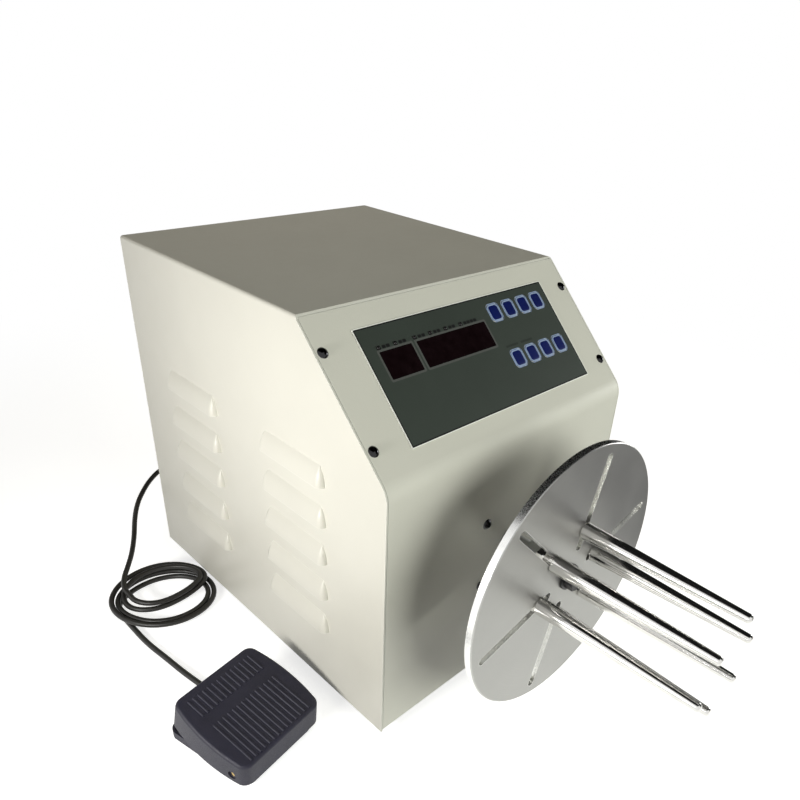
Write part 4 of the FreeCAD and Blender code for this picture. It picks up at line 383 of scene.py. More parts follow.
def ranged(tree, value, low, high, to_low=0.0, to_high=1.0, soft=False):
    """A value moved from one range to another, and kept inside it."""
    limits = {"Value": value, "From Min": low, "From Max": high, "To Min": to_low, "To Max": to_high}
    kind = "SMOOTHSTEP" if soft else "LINEAR"
    return place(tree, "ShaderNodeMapRange", limits, interpolation_type=kind).outputs[0]


NOISE_SPAN = (0.3, 0.7)      # nearly all values of a noise lie between these

# %% [markdown]
# The speckle is cloudy noise of one grain size. Large, it is the uneven tone of a painted sheet,
# and small, the tooth of plastic. A noise in metres keeps the same grain on every piece, where a
# picture would stretch.

# %% Effect: speckle
speckle, given, result = new_group("Speckle", {"Size": 0.001, "Detail": 3.0}, "Value")
spot = place(speckle, "ShaderNodeTexCoord").outputs["Object"]
fineness = maths(speckle, "DIVIDE", 1.0, given["Size"])
grain = {"Vector": spot, "Scale": fineness, "Detail": given["Detail"]}
noise = place(speckle, "ShaderNodeTexNoise", grain)
speckle.links.new(ranged(speckle, noise.outputs[0], *NOISE_SPAN), result)

# %% [markdown]
# A lathe leaves fine rings about the axis it turned the piece on. Noise that depends only on the
# distance from that axis, and on the distance along it, gives rings on a face and on a shaft alike.

# %% Effect: marks from turning, about a line along Y
turning, given, result = new_group("Turning", {"Centre": (0.0, 0.0, 0.0), "Pitch": 0.0005}, "Value")
spot = place(turning, "ShaderNodeTexCoord").outputs["Object"]
from_centre = {0: spot, 1: given["Centre"]}
offset = place(turning, "ShaderNodeVectorMath", from_centre, operation="SUBTRACT").outputs[0]
across_axis = {0: offset, 1: (1, 0, 1)}
flat = place(turning, "ShaderNodeVectorMath", across_axis, operation="MULTIPLY").outputs[0]
radius = place(turning, "ShaderNodeVectorMath", {0: flat}, operation="LENGTH").outputs["Value"]
along = place(turning, "ShaderNodeSeparateXYZ", {0: offset}).outputs["Y"]
position = maths(turning, "DIVIDE", maths(turning, "ADD", radius, along), given["Pitch"])
rings_noise = {"W": position, "Scale": 1.0, "Detail": 4.0}
grooves = place(turning, "ShaderNodeTexNoise", rings_noise, noise_dimensions="1D")
turning.links.new(ranged(turning, grooves.outputs[0], *NOISE_SPAN), result)

# %% [markdown]
# Hands and cloths rub a piece on its edges first. Painting each edge would take a mask for each
# piece. A Bevel node bends the normal near an edge, so how far the bent normal is from the true one
# tells where the edges are, and a coarse speckle breaks the line up. The same mask lays painted
# highlights along the case's folds and the disc's edges.

# %% Effect: rubbed edges, and painted edge highlights
EDGE_BEND = (0.995, 0.90)    # likeness of the two normals where the mask starts, and where it is full
EDGE_PATCHES = 0.02
edges, given, result = new_group("Edges", {"Width": 0.001, "Breakup": 0.3}, "Mask")
rounded = place(edges, "ShaderNodeBevel", {"Radius": given["Width"]}, samples=6).outputs[0]
surface = place(edges, "ShaderNodeNewGeometry").outputs["Normal"]
likeness = place(edges, "ShaderNodeVectorMath", {0: rounded, 1: surface}, operation="DOT_PRODUCT")
bent = ranged(edges, likeness.outputs["Value"], *EDGE_BEND)
patches = place(edges, "ShaderNodeGroup", node_tree=speckle)
patches.inputs["Size"].default_value = EDGE_PATCHES
kept = maths(edges, "SUBTRACT", 1.0, maths(edges, "MULTIPLY", patches.outputs[0], given["Breakup"]))
edges.links.new(maths(edges, "MULTIPLY", bent, kept), result)

# %% [markdown]
# Dust settles on what faces up, a little unevenly. The normal's height says how much a place faces
# up, so no piece needs a mask of its own.

# %% Effect: settled dust
DUST_SLOPE = 0.4             # a normal lower than this holds no dust
DUST_PATCHES = 0.03
dust, given, result = new_group("Dust", {"Amount": 0.3}, "Mask")
facing = place(dust, "ShaderNodeNewGeometry").outputs["Normal"]
up = place(dust, "ShaderNodeSeparateXYZ", {0: facing}).outputs["Z"]
patches = place(dust, "ShaderNodeGroup", node_tree=speckle)
patches.inputs["Size"].default_value = DUST_PATCHES
uneven = ranged(dust, patches.outputs[0], 0.0, 1.0, 0.4, 1.0)
lying = maths(dust, "MULTIPLY", ranged(dust, up, DUST_SLOPE, 1.0), uneven)
dust.links.new(maths(dust, "MULTIPLY", lying, given["Amount"]), result)

# %% [markdown]
# A printed frame is a line of even width along a rounded rectangle, and a line as wide as the
# rectangle fills it. It could be a picture laid over the panel, but a distance worked out from the
# rectangle's middle, size and corner gives the same line at any sharpness. The group measures
# across, along X, and up, along an axis that is given, because the panel slopes.

# %% Effect: printed frame
SLOPE_ANGLE = math.radians(45)
UP_SLOPE = (0.0, math.cos(SLOPE_ANGLE), math.sin(SLOPE_ANGLE))
frame_inputs = {"Middle X": 0.0, "Middle Up": 0.0, "Half X": 0.01, "Half Up": 0.01, "Corner": 0.001,
                "Line": 0.0005, "Up Axis": UP_SLOPE}
printed, given, result = new_group("Printed frame", frame_inputs, "Mask")
spot = place(printed, "ShaderNodeTexCoord").outputs["Object"]
across = place(printed, "ShaderNodeSeparateXYZ", {0: spot}).outputs["X"]
along_axis = {0: spot, 1: given["Up Axis"]}
up = place(printed, "ShaderNodeVectorMath", along_axis, operation="DOT_PRODUCT").outputs["Value"]


def beyond_core(position, middle, half):
    """How far a position is past the straight part of a rounded rectangle's side."""
    distance = maths(printed, "ABSOLUTE", maths(printed, "SUBTRACT", position, given[middle]))
    core = maths(printed, "SUBTRACT", given[half], given["Corner"])
    return maths(printed, "SUBTRACT", distance, core)


past_x = beyond_core(across, "Middle X", "Half X")
past_up = beyond_core(up, "Middle Up", "Half Up")
square_x = maths(printed, "POWER", maths(printed, "MAXIMUM", past_x, 0.0), 2.0)
square_up = maths(printed, "POWER", maths(printed, "MAXIMUM", past_up, 0.0), 2.0)
outside = maths(printed, "SQRT", maths(printed, "ADD", square_x, square_up))
inside = maths(printed, "MINIMUM", maths(printed, "MAXIMUM", past_x, past_up), 0.0)
depth = maths(printed, "SUBTRACT", given["Corner"], maths(printed, "ADD", outside, inside))
half_line = maths(printed, "DIVIDE", given["Line"], 2.0)
from_line = maths(printed, "ABSOLUTE", maths(printed, "SUBTRACT", depth, half_line))
share = maths(printed, "DIVIDE", from_line, given["Line"])
LINE_FADE = (0.55, 0.42)     # shares of the line's width between which its edge fades
printed.links.new(ranged(printed, share, *LINE_FADE), result)
print(f"{len(bpy.data.node_groups)} shader groups")

# %% [markdown]
# Every finish starts as one Principled shader. What is the same all over a surface, such as a
# paint's plain gloss, is set on the shader's own sockets, and what changes over it is linked in.

# %% Helpers for materials
def finish(name, colour, roughness, metallic=0.0):
    """A new material, its tree and its shader, with the plain values set."""
    material = bpy.data.materials.new(name)
    material.use_nodes = True
    shader = material.node_tree.nodes["Principled BSDF"]
    shader.inputs["Base Color"].default_value = colour
    shader.inputs["Roughness"].default_value = roughness
    shader.inputs["Metallic"].default_value = metallic
    return material, material.node_tree, shader


def effect(tree, group, **values):
    """Place one of the effect groups, and give its result."""
    made = place(tree, "ShaderNodeGroup", node_tree=group)
    for name, value in values.items():
        made.inputs[name.replace("_", " ")].default_value = value
    return made.outputs[0]


def mixed(tree, share, first, second):
    """Colour between two colours or sockets."""
    made = place(tree, "ShaderNodeMix", data_type="RGBA")
    sockets = [s for s in made.inputs if s.type == "RGBA"]
    for socket, value in zip(sockets, (first, second)):
        if isinstance(value, bpy.types.NodeSocket):
            tree.links.new(value, socket)
        else:
            socket.default_value = value
    tree.links.new(share, made.inputs[0])
    return [s for s in made.outputs if s.type == "RGBA"][0]


def bump(tree, shader, height, depth):
    """Roughen a shader's surface by a height map of a real depth in metres."""
    made = place(tree, "ShaderNodeBump", {"Height": height, "Distance": depth})
    tree.links.new(made.outputs["Normal"], shader.inputs["Normal"])


def shade(colour, share):
    """A colour made darker or lighter by a share."""
    return (*(min(1.0, channel * share) for channel in colour[:3]), 1)


# %% [markdown]
# The case is folded sheet with a light grey powder coat: half gloss, with the fine orange peel
# that the baked powder leaves. The folds are painted paler, a painted highlight where they catch
# the light. One even colour would look like plastic, so the tone, the gloss and the folds each vary
# a little.

# %% Finish: case paint
PAINT = srgb(224, 222, 211)
FOLD_HIGHLIGHT_PAINT = srgb(244, 243, 236)
CASE_DUST = srgb(176, 168, 156)
PEEL_SIZE = 0.0013
PEEL_DEPTH = 0.00003


def case_paint():
    """Powder coat with orange peel, a painted highlight on the folds and a little dust."""
    material, tree, shader = finish("case_paint", PAINT, 0.38)
    uneven = mixed(tree, effect(tree, speckle, Size=0.06), shade(PAINT, 0.965), PAINT)
    # Paler paint along the folds: a painted highlight.
    folds = maths(tree, "MULTIPLY", effect(tree, edges, Width=0.0015, Breakup=0.4), 0.6)
    coated = mixed(tree, folds, uneven, FOLD_HIGHLIGHT_PAINT)
    dusty = mixed(tree, effect(tree, dust, Amount=0.10), coated, CASE_DUST)
    tree.links.new(dusty, shader.inputs["Base Color"])
    gloss = ranged(tree, effect(tree, speckle, Size=0.012), 0.0, 1.0, 0.33, 0.43)
    tree.links.new(gloss, shader.inputs["Roughness"])
    bump(tree, shader, effect(tree, speckle, Size=PEEL_SIZE, Detail=1.0), PEEL_DEPTH)
    return material


# %% [markdown]
# The disc is turned aluminium plate: very fine rings about its middle, and a satin sheen that
# varies a little where hands and cable have rubbed it. Its metal is set darker than bare aluminium,
# a painted shade, and its edges paler, partly rubbed and partly a painted highlight. The Anisotropic
# socket could stand in for the rings, but it draws out every highlight alike, and rings change the
# gloss from place to place.

# %% Finish: disc metal
disc_low, disc_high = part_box("winding_disc")
SPINDLE = Vector((0, disc_low.y, (disc_low.z + disc_high.z) / 2))
# Darker than bare aluminium: a painted shade on the disc's faces.
SHADED_ALUMINIUM = (0.40, 0.398, 0.378, 1)
RUBBED_AND_HIGHLIT_METAL = (0.85, 0.85, 0.83, 1)
DISC_PITCH = 0.0007
DISC_MARK_DEPTH = 0.000004


def disc_metal():
    """Satin turned aluminium, darkened as painted shade, with paler edges partly rubbed and partly a
    painted highlight.
    """
    material, tree, shader = finish("disc_metal", SHADED_ALUMINIUM, 0.38, metallic=1.0)
    rings = effect(tree, turning, Centre=SPINDLE, Pitch=DISC_PITCH)
    handled = effect(tree, speckle, Size=0.05)
    worn = mixed(tree, handled, shade(SHADED_ALUMINIUM, 0.93), shade(SHADED_ALUMINIUM, 1.04))
    # Paler metal along the edges: partly rubbed, partly a painted highlight.
    rubbed = mixed(tree, effect(tree, edges, Width=0.0012, Breakup=0.3), worn, RUBBED_AND_HIGHLIT_METAL)
    tree.links.new(rubbed, shader.inputs["Base Color"])
    touched = maths(tree, "MULTIPLY", handled, 0.08)
    sheen = maths(tree, "ADD", ranged(tree, rings, 0.0, 1.0, 0.30, 0.40), touched)
    tree.links.new(sheen, shader.inputs["Roughness"])
    bump(tree, shader, rings, DISC_MARK_DEPTH)
    return material


# %% [markdown]
# The posts are turned and then polished, so that they mirror the room in long bands. A perfect
# mirror would be simpler, but the faint marks of turning soften the bands, as on real ones.

# %% Finish: polished posts
POLISHED = (0.80, 0.79, 0.76, 1)
POST_PITCH = 0.0006
POST_MARK_DEPTH = 0.000001


def post_metal():
    """Polished steel with the faintest turning marks."""
    material, tree, shader = finish("post_metal", POLISHED, 0.12, metallic=1.0)
    marks = effect(tree, turning, Centre=SPINDLE, Pitch=POST_PITCH)
    handled = effect(tree, speckle, Size=0.015)
    tree.links.new(mixed(tree, handled, shade(POLISHED, 0.92), POLISHED), shader.inputs["Base Color"])
    touched = maths(tree, "MULTIPLY", handled, 0.05)
    gloss = maths(tree, "ADD", ranged(tree, marks, 0.0, 1.0, 0.08, 0.14), touched)
    tree.links.new(gloss, shader.inputs["Roughness"])
    bump(tree, shader, marks, POST_MARK_DEPTH)
    return material


# %% [markdown]
# Inside and behind there are plainer metals: zinc-plated steel, blackened bolts, grey castings
# and the motor's dark paint. They differ in colour, grain and gloss, so one function makes them.

# %% Finishes: plain metals
def plain_metal(name, colour, roughness, grain, depth, metallic=1.0):
    """Metal or its coat with an even grain of a size, and of a depth."""
    material, tree, shader = finish(name, colour, roughness, metallic)
    grains = effect(tree, speckle, Size=grain)
    clouds = effect(tree, speckle, Size=0.02)
    clouded = mixed(tree, clouds, shade(colour, 0.88), shade(colour, 1.06))
    tree.links.new(clouded, shader.inputs["Base Color"])
    low, high = roughness - 0.06, roughness + 0.08
    tree.links.new(ranged(tree, grains, 0.0, 1.0, low, high), shader.inputs["Roughness"])
    bump(tree, shader, grains, depth)
    return material


# %% [markdown]
# Rubber, black plastic, the cord's cover and the foot switch's housing are moulded. Each has a
# fine even grain from its mould, paler edges where it is rubbed, and dust on what faces up.

# %% Finishes: moulded plastic and rubber
DUST_COLOUR = srgb(150, 146, 138)
EDGE_LIGHTER = 2.6           # how much paler rubbed plastic is


def moulded(name, colour, roughness, grain, depth, dusty=0.15, rubbed=0.25):
    """Moulded plastic or rubber."""
    material, tree, shader = finish(name, colour, roughness)
    grains = effect(tree, speckle, Size=grain, Detail=2.0)
    clouds = effect(tree, speckle, Size=0.012)
    clouded = mixed(tree, clouds, shade(colour, 0.85), shade(colour, 1.10))
    worn = maths(tree, "MULTIPLY", effect(tree, edges, Width=0.0008, Breakup=0.5), rubbed)
    edged = mixed(tree, worn, clouded, shade(colour, EDGE_LIGHTER))
    dusted = mixed(tree, effect(tree, dust, Amount=dusty), edged, DUST_COLOUR)
    tree.links.new(dusted, shader.inputs["Base Color"])
    low, high = roughness - 0.07, roughness + 0.07
    tree.links.new(ranged(tree, grains, 0.0, 1.0, low, high), shader.inputs["Roughness"])
    bump(tree, shader, grains, depth)
    return material


# %% [markdown]
# The panel's print follows pieces of the measured model: windows, lamps and keys. Their places
# could be typed again, but reading them from the model keeps print and pieces together. A node may
# hold several solids, so they are told apart by the points that their faces share.

# %% Places on the slope
SLOPE = Matrix.Rotation(SLOPE_ANGLE, 3, "X")


def separate_solids(node):
    """Points and faces of each separate solid in a node."""
    mesh = nodes[node].data
    keys = [tuple(round(c, 6) for c in vertex.co) for vertex in mesh.vertices]
    leader = {key: key for key in keys}

    def top(key):
        while leader[key] != key:
            leader[key] = leader[leader[key]]
            key = leader[key]
        return key

    for face in mesh.polygons:
        first = top(keys[face.vertices[0]])
        for corner in face.vertices[1:]:
            leader[top(keys[corner])] = first
    solids = {}
    for face in mesh.polygons:
        points, faces = solids.setdefault(top(keys[face.vertices[0]]), ([], []))
        points += [mesh.vertices[i].co for i in face.vertices]
        faces.append(face)
    return list(solids.values())


def slope_box(points):
    """Lowest and highest corner of points in the slope's axes: across, up the slope, outwards."""
    turned = [SLOPE.transposed() @ point for point in points]
    low = Vector([min(p[i] for p in turned) for i in range(3)])
    high = Vector([max(p[i] for p in turned) for i in range(3)])
    return low, high


def node_box(name):
    """The same corners of a whole node."""
    return slope_box([vertex.co for vertex in nodes[name].data.vertices])


def frame_round(tree, low, high, gap, line, corner):
    """A printed line round a box on the slope, a gap outside it."""
    middle = (low + high) / 2
    half = (high - low) / 2
    return effect(tree, printed, Middle_X=middle.x, Middle_Up=middle.y, Half_X=half.x + gap + line,
                  Half_Up=half.y + gap + line, Corner=corner, Line=line)


FILLING_LINE = 2.4      # a line of this many half widths meets in the middle of a bar


def filled(tree, x, up, half_x, half_up, **axis):
    """A printed bar: a frame whose line meets in its middle."""
    narrow = min(half_x, half_up)
    return effect(tree, printed, Middle_X=x, Middle_Up=up, Half_X=half_x, Half_Up=half_up,
                  Corner=narrow / 2, Line=FILLING_LINE * narrow, **axis)


# %% [markdown]
# The panel is a film printed dark grey-green from behind, with a fine matt tooth. It has a clear
# rim, painted near white as a highlight over the pale paint beneath, with a black line inside it, a
# pale frame round each display window, a blue-grey one round each key, and small dark bars in
# place of words.

# %% Finish: control panel film
FILM = srgb(57, 64, 58)
FRAME_INK = srgb(84, 86, 83)
KEY_INK = srgb(152, 170, 204)
# The film's clear rim, painted near white: partly the pale paint beneath, partly a painted highlight.
PALE_RIM_HIGHLIGHT = srgb(250, 250, 243)
BLACK_INK = (0.004, 0.004, 0.004, 1)
FAINT_INK = shade(FILM, 0.55)
FILM_GRAIN = 0.0006
FILM_GRAIN_DEPTH = 0.000008
WINDOW_LINE = 0.0018
WINDOW_GAP = 0.0001
WINDOW_CORNER = 0.0015
FILM_CORNER = 0.0012
CLEAR_RIM = 0.0008      # the unprinted rim of the film
FILM_EDGE = 0.0011      # the black line inside it
KEY_LINE = 0.0007
KEY_GAP = 0.0002
KEY_LINE_CORNER = 0.0040
LABEL_START = 0.0036    # from a lamp's middle to its label
LABEL_STEP = 0.0041
LABEL_HALF = (0.0018, 0.0014)
KEY_LABEL_HALF = (0.0080, 0.0010)
KEY_LABEL_UP = 0.0125   # from a key's middle to the label above it
LAMP_WIDTH = 0.003
LAMP_SPOT = (0.0021, 0.0018)
MARKS, LAST_MARKS = 2, 4     # bars beside a lamp, and beside the last one


def lamp_solids():
    """The indicator lamps among the display's pieces, from left to right: box and faces of each."""
    found = []
    for points, faces in separate_solids("display_modules"):
        low, high = slope_box(points)
        if high.x - low.x < LAMP_WIDTH:
            found.append((low, high, faces))
    return sorted(found, key=lambda item: item[0].x)


def label_bars():
    """Middle, half size and ink of each printed bar: round and beside the lamps, and above two keys."""
    bars = []
    lamps = lamp_solids()
    for low, high, _ in lamps:
        middle = (low + high) / 2
        bars.append((middle.x, middle.y, LAMP_SPOT, BLACK_INK))
        marks = LAST_MARKS if low == lamps[-1][0] else MARKS
        for mark in range(marks):
            x = middle.x + LABEL_START + LABEL_HALF[0] + mark * LABEL_STEP
            bars.append((x, middle.y, LABEL_HALF, BLACK_INK))
    for key in ("key_5", "key_6"):
        low, high = node_box(key)
        middle = (low + high) / 2
        bars.append((middle.x, middle.y + KEY_LABEL_UP, KEY_LABEL_HALF, FAINT_INK))
    return bars


def overlay_film():
    """Dark matt film: clear rim painted pale as a highlight, black edge, pale frames round windows and
    keys, small dark bars.
    """
    material, tree, shader = finish("overlay", FILM, 0.52)
    grains = effect(tree, speckle, Size=FILM_GRAIN)
    colour = mixed(tree, effect(tree, speckle, Size=0.05), shade(FILM, 0.92), shade(FILM, 1.05))
    for points, _ in separate_solids("display_windows"):
        low, high = slope_box(points)
        line = frame_round(tree, low, high, WINDOW_GAP, WINDOW_LINE, WINDOW_CORNER)
        colour = mixed(tree, line, colour, FRAME_INK)
    low, high = node_box("panel_overlay")
    border = frame_round(tree, low, high, -CLEAR_RIM - FILM_EDGE, FILM_EDGE, FILM_CORNER)
    colour = mixed(tree, border, colour, BLACK_INK)
    # The clear rim is painted near white, paler than the paint under it: a painted highlight.
    rim = frame_round(tree, low, high, -CLEAR_RIM, CLEAR_RIM, FILM_CORNER)
    colour = mixed(tree, rim, colour, PALE_RIM_HIGHLIGHT)
    for number in range(1, 9):
        low, high = node_box(f"key_{number}")
        line = frame_round(tree, low, high, KEY_GAP, KEY_LINE, KEY_LINE_CORNER)
        colour = mixed(tree, line, colour, KEY_INK)
    for x, up, half, ink in label_bars():
        colour = mixed(tree, filled(tree, x, up, *half), colour, ink)
    tree.links.new(colour, shader.inputs["Base Color"])
    tree.links.new(ranged(tree, grains, 0.0, 1.0, 0.46, 0.58), shader.inputs["Roughness"])
    bump(tree, shader, grains, FILM_GRAIN_DEPTH)
    return material


# %% [markdown]
# The windows are smoked red plastic over digits that are off, so they look nearly black. A dark
# glossy surface gives that, and clear plastic would only show the dark inside of the case.

# %% Finish: display windows
SMOKED = (0.006, 0.0025, 0.003, 1)
SMOKED_DARK = (0.005, 0.002, 0.0025, 1)
SMOKED_WIPED = (0.009, 0.004, 0.005, 1)
WINDOW_SPECULAR = 0.35


def window_plastic():
    """Dark smoked red window, glossy, with fine wiping marks."""
    material, tree, shader = finish("window", SMOKED, 0.12)
    wiped = effect(tree, speckle, Size=0.008)
    shader.inputs["Specular IOR Level"].default_value = WINDOW_SPECULAR
    tree.links.new(ranged(tree, wiped, 0.0, 1.0, 0.08, 0.20), shader.inputs["Roughness"])
    tree.links.new(mixed(tree, wiped, SMOKED_DARK, SMOKED_WIPED), shader.inputs["Base Color"])
    return material


# %% [markdown]
# Each measured node names its finish in its material slot. A table of finishes by those names gives
# every node its material in one loop.

# %% Every finish by the name of its material slot
FINISHES = {
    "case_paint": case_paint(),
    "disc_metal": disc_metal(),
    "post_metal": post_metal(),
    "steel": plain_metal("steel", (0.50, 0.51, 0.52, 1), 0.30, 0.0008, 0.000004),
    "black_steel": plain_metal("black_steel", (0.035, 0.035, 0.037, 1), 0.36, 0.0006, 0.00001,
                               metallic=0.6),
    "cast_metal": plain_metal("cast_metal", (0.16, 0.165, 0.17, 1), 0.62, 0.0018, 0.00012, metallic=0.7),
    "motor_paint": plain_metal("motor_paint", (0.02, 0.022, 0.025, 1), 0.40, 0.0015, 0.00003, metallic=0.0),
    "belt_rubber": moulded("belt_rubber", (0.02, 0.02, 0.02, 1), 0.75, 0.0010, 0.00004),
    "foot_rubber": moulded("foot_rubber", (0.022, 0.022, 0.022, 1), 0.72, 0.0012, 0.00004),
    "overlay": overlay_film(),
    "window": window_plastic(),
    "key_blue": moulded("key_blue", srgb(2, 20, 88), 0.42, 0.0007, 0.00001, dusty=0.0, rubbed=0.05),
    "circuit": moulded("circuit", srgb(24, 92, 52), 0.42, 0.0010, 0.00002),
    "black_plastic": moulded("black_plastic", (0.018, 0.018, 0.019, 1), 0.45, 0.0008, 0.00002),
    "pedal_plastic": moulded("pedal_plastic", srgb(30, 29, 44), 0.56, 0.0009, 0.00004, dusty=0.0,
                             rubbed=0.18),
    "brass": plain_metal("brass", (0.60, 0.42, 0.14, 1), 0.24, 0.0008, 0.000004),
    "cord_cover": moulded("cord_cover", (0.011, 0.010, 0.008, 1), 0.42, 0.0010, 0.00001, dusty=0.03),
}
for node in nodes.values():
    slot = node.data.materials[0].name
    node.data.materials[0] = FINISHES[slot]
cord.data.materials.append(FINISHES["cord_cover"])
print(f"{len(FINISHES)} finishes on {len(nodes)} measured pieces")

# %% [markdown]
# Some measured pieces hold more than one finish: the lamps stand among black display blocks, the
# film's cut edge is painted pale as a highlight, the disc's rim and the sides of its slots have a
# much paler metal than its faces, partly cut metal and partly a painted reflection, and the sleeve
# on the foot switch is softer than its housing. A second material slot and the faces' own index do
# this without touching the shape.

# %% Pieces with a second finish
BLACK_CHROME = plain_metal("black_chrome", (0.045, 0.045, 0.047, 1), 0.14, 0.0008, 0.000002)
LENS_BLACK = (0.003, 0.002, 0.002, 1)
LAMP_LENS = moulded("lamp_lens", LENS_BLACK, 0.55, 0.0006, 0.000002, dusty=0.0)
# Paler metal for the disc's rim and slot sides: partly cut metal, partly a painted reflection.
RIM_METAL_AND_REFLECTION = plain_metal("rim_metal_and_reflection", (0.90, 0.90, 0.88, 1), 0.26, 0.0008, 0.000002)
# The film's cut edge is painted pale: a painted highlight.
CUT_EDGE_HIGHLIGHT = moulded("cut_film_edge_highlight", srgb(214, 214, 206), 0.45, 0.0006, 0.000002, dusty=0.0)


def give(node, faces, material):
    """Give some faces of a measured piece a finish of their own."""
    slots = nodes[node].data.materials
    if material.name not in slots:
        slots.append(material)
    index = slots.find(material.name)
    for face in faces:
        face.material_index = index


for screws in ("panel_screws", "flange_screws"):
    nodes[screws].data.materials[0] = BLACK_CHROME
nodes["display_modules"].data.materials[0] = FINISHES["black_plastic"]
for _, _, faces in lamp_solids():
    give("display_modules", faces, LAMP_LENS)
film_low, film_high = node_box("panel_overlay")
EDGE_REACH = 0.002      # how far from the film's end an edge face may lie
EDGE_TILT = 0.5         # an edge face looks less outwards than this
# Faces on the film's cut edge get the pale painted highlight.
for face in nodes["panel_overlay"].data.polygons:
    normal = SLOPE.transposed() @ face.normal
    centre = SLOPE.transposed() @ face.center
    near_end = min(centre.x - film_low.x, film_high.x - centre.x) < EDGE_REACH
    near_side = min(centre.y - film_low.y, film_high.y - centre.y) < EDGE_REACH
    if abs(normal.z) < EDGE_TILT and (near_end or near_side):
        give("panel_overlay", [face], CUT_EDGE_HIGHLIGHT)
SIDE_TILT = 0.3         # a side face of the disc looks less to the front than this
disc_faces = nodes["winding_disc"].data.polygons
disc_sides = [face for face in disc_faces if abs(face.normal.y) < SIDE_TILT]
# The rim and slot sides get the paler metal, partly a painted reflection.
give("winding_disc", disc_sides, RIM_METAL_AND_REFLECTION)
sleeve = min(separate_solids("pedal_base"), key=lambda solid: len(solid[1]))
give("pedal_base", sleeve[1], FINISHES["cord_cover"])
print(f"{len(disc_sides)} bright faces on the disc, {len(sleeve[1])} faces in the sleeve")

# %% [markdown]
# Each key is a blue cap with a raised pale rim, 14 by 16 mm. The measured cap has the right
# place and size but one colour and a plain face. It could be painted, but a rim and a pad that
# swells a little catch the light as moulded ones do, so a cap is built from rounded rectangles, one
# inside the other, from the skirt to the middle of the pad.

# %% Key caps
KEY_CORNER = 0.0040
KEY_SKIRT = 0.00055     # from the cap's lower edge to its top
KEY_STEM = 0.0025       # half the width of the square stem under the cap
# Each ring's distance in from the cap's edge, and its height over the cap's top.
RINGS = [(0.0, -KEY_SKIRT), (0.0, -0.0003), (0.0002, -0.00016), (0.00045, -0.0001),
         (0.00115, -0.0001), (0.0014, -0.0002), (0.0017, -0.0001), (0.0030, -0.00003), (0.0048, 0.0)]
RIM_RINGS = 5           # rings up to here have the rim's colour
CORNER_STEPS = 6
SMALLEST_CORNER = 0.0003
STEM_FACES = ((3, 2, 1, 0), (4, 5, 6, 7), (0, 1, 5, 4), (1, 2, 6, 5), (2, 3, 7, 6), (3, 0, 4, 7))
KEY_RIM = moulded("key_rim", KEY_INK, 0.40, 0.0007, 0.00001, dusty=0.0, rubbed=0.0)


def rounded_ring(low, high, inset, corner):
    """Points of a rounded rectangle, drawn in by an inset, as pairs across and up."""
    points = []
    radius = max(corner - inset, SMALLEST_CORNER)
    middle = (low + high) / 2
    core_x = (high.x - low.x) / 2 - inset - radius
    core_y = (high.y - low.y) / 2 - inset - radius
    for quarter, (side_x, side_y) in enumerate(((1, 1), (-1, 1), (-1, -1), (1, -1))):
        for step in range(CORNER_STEPS + 1):
            angle = (quarter + step / CORNER_STEPS) * math.pi / 2
            points.append((middle.x + side_x * core_x + radius * math.cos(angle),
                           middle.y + side_y * core_y + radius * math.sin(angle)))
    return points


def mesh_piece(name, points, faces, smooth=True):
    """A piece made of points and faces, in the scene."""
    mesh = bpy.data.meshes.new(name)
    mesh.from_pydata(points, [], faces)
    for face in mesh.polygons:
        face.use_smooth = smooth
    mesh.validate()
    piece = bpy.data.objects.new(name, mesh)
    bpy.context.scene.collection.objects.link(piece)
    return piece


def key_cap(name):
    """One key: a closed cap of rings, with a pale rim round a blue pad, on a square stem."""
    low, high = node_box(name)
    points = []
    faces = []
    for inset, height in RINGS:
        ring = rounded_ring(low, high, inset, KEY_CORNER)
        points += [SLOPE @ Vector((x, up, high.z + height)) for x, up in ring]
    count = len(points) // len(RINGS)
    for ring in range(len(RINGS) - 1):
        for i in range(count):
            j = (i + 1) % count
            outer, inner = ring * count, (ring + 1) * count
            faces.append((outer + i, outer + j, inner + j, inner + i))
    faces.append(tuple(reversed(range(count))))
    faces.append(tuple(range((len(RINGS) - 1) * count, len(RINGS) * count)))
    start = len(points)
    middle = (low + high) / 2
    for height in (low.z, high.z - KEY_SKIRT):
        for x, up in SQUARE:
            points.append(SLOPE @ Vector((middle.x + x * KEY_STEM, middle.y + up * KEY_STEM, height)))
    for corners in STEM_FACES:
        faces.append(tuple(start + corner for corner in corners))
    cap = mesh_piece(name + "_cap", points, faces)
    for face in cap.data.polygons[-len(STEM_FACES):]:
        face.use_smooth = False
    cap.data.materials.append(FINISHES["key_blue"])
    cap.data.materials.append(KEY_RIM)
    for index, face in enumerate(cap.data.polygons):
        face.material_index = 1 if index < RIM_RINGS * count else 0
    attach(cap, name)
    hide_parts(name)
    return cap


caps = [key_cap(f"key_{number}") for number in range(1, 9)]
print(f"{len(caps)} key caps of {len(caps[0].data.polygons)} faces")

# %% [markdown]
# Where the cord leaves the case it passes a screw gland with a soft ringed tail that keeps it from
# bending sharply. The measured gland gives the place and the reach. It could be carved with rings
# in a sculpt, but it is round, so a profile of distances and radii, turned about the cord's line,
# gives the nut, the dome and the rings exactly.

# %% Gland with its tail
GLAND_LOW, GLAND_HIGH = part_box("cord_gland")
GLAND_SIDES = 48
GLAND_NUT = 0.0095      # radius of both nuts
GLAND_NECK = 0.0060     # radius where it passes through the rear panel
PANEL_GAP = 0.0003      # the inner nut stops short of the panel
END_STEP = 0.0001       # a flat end's two circles stand this far apart
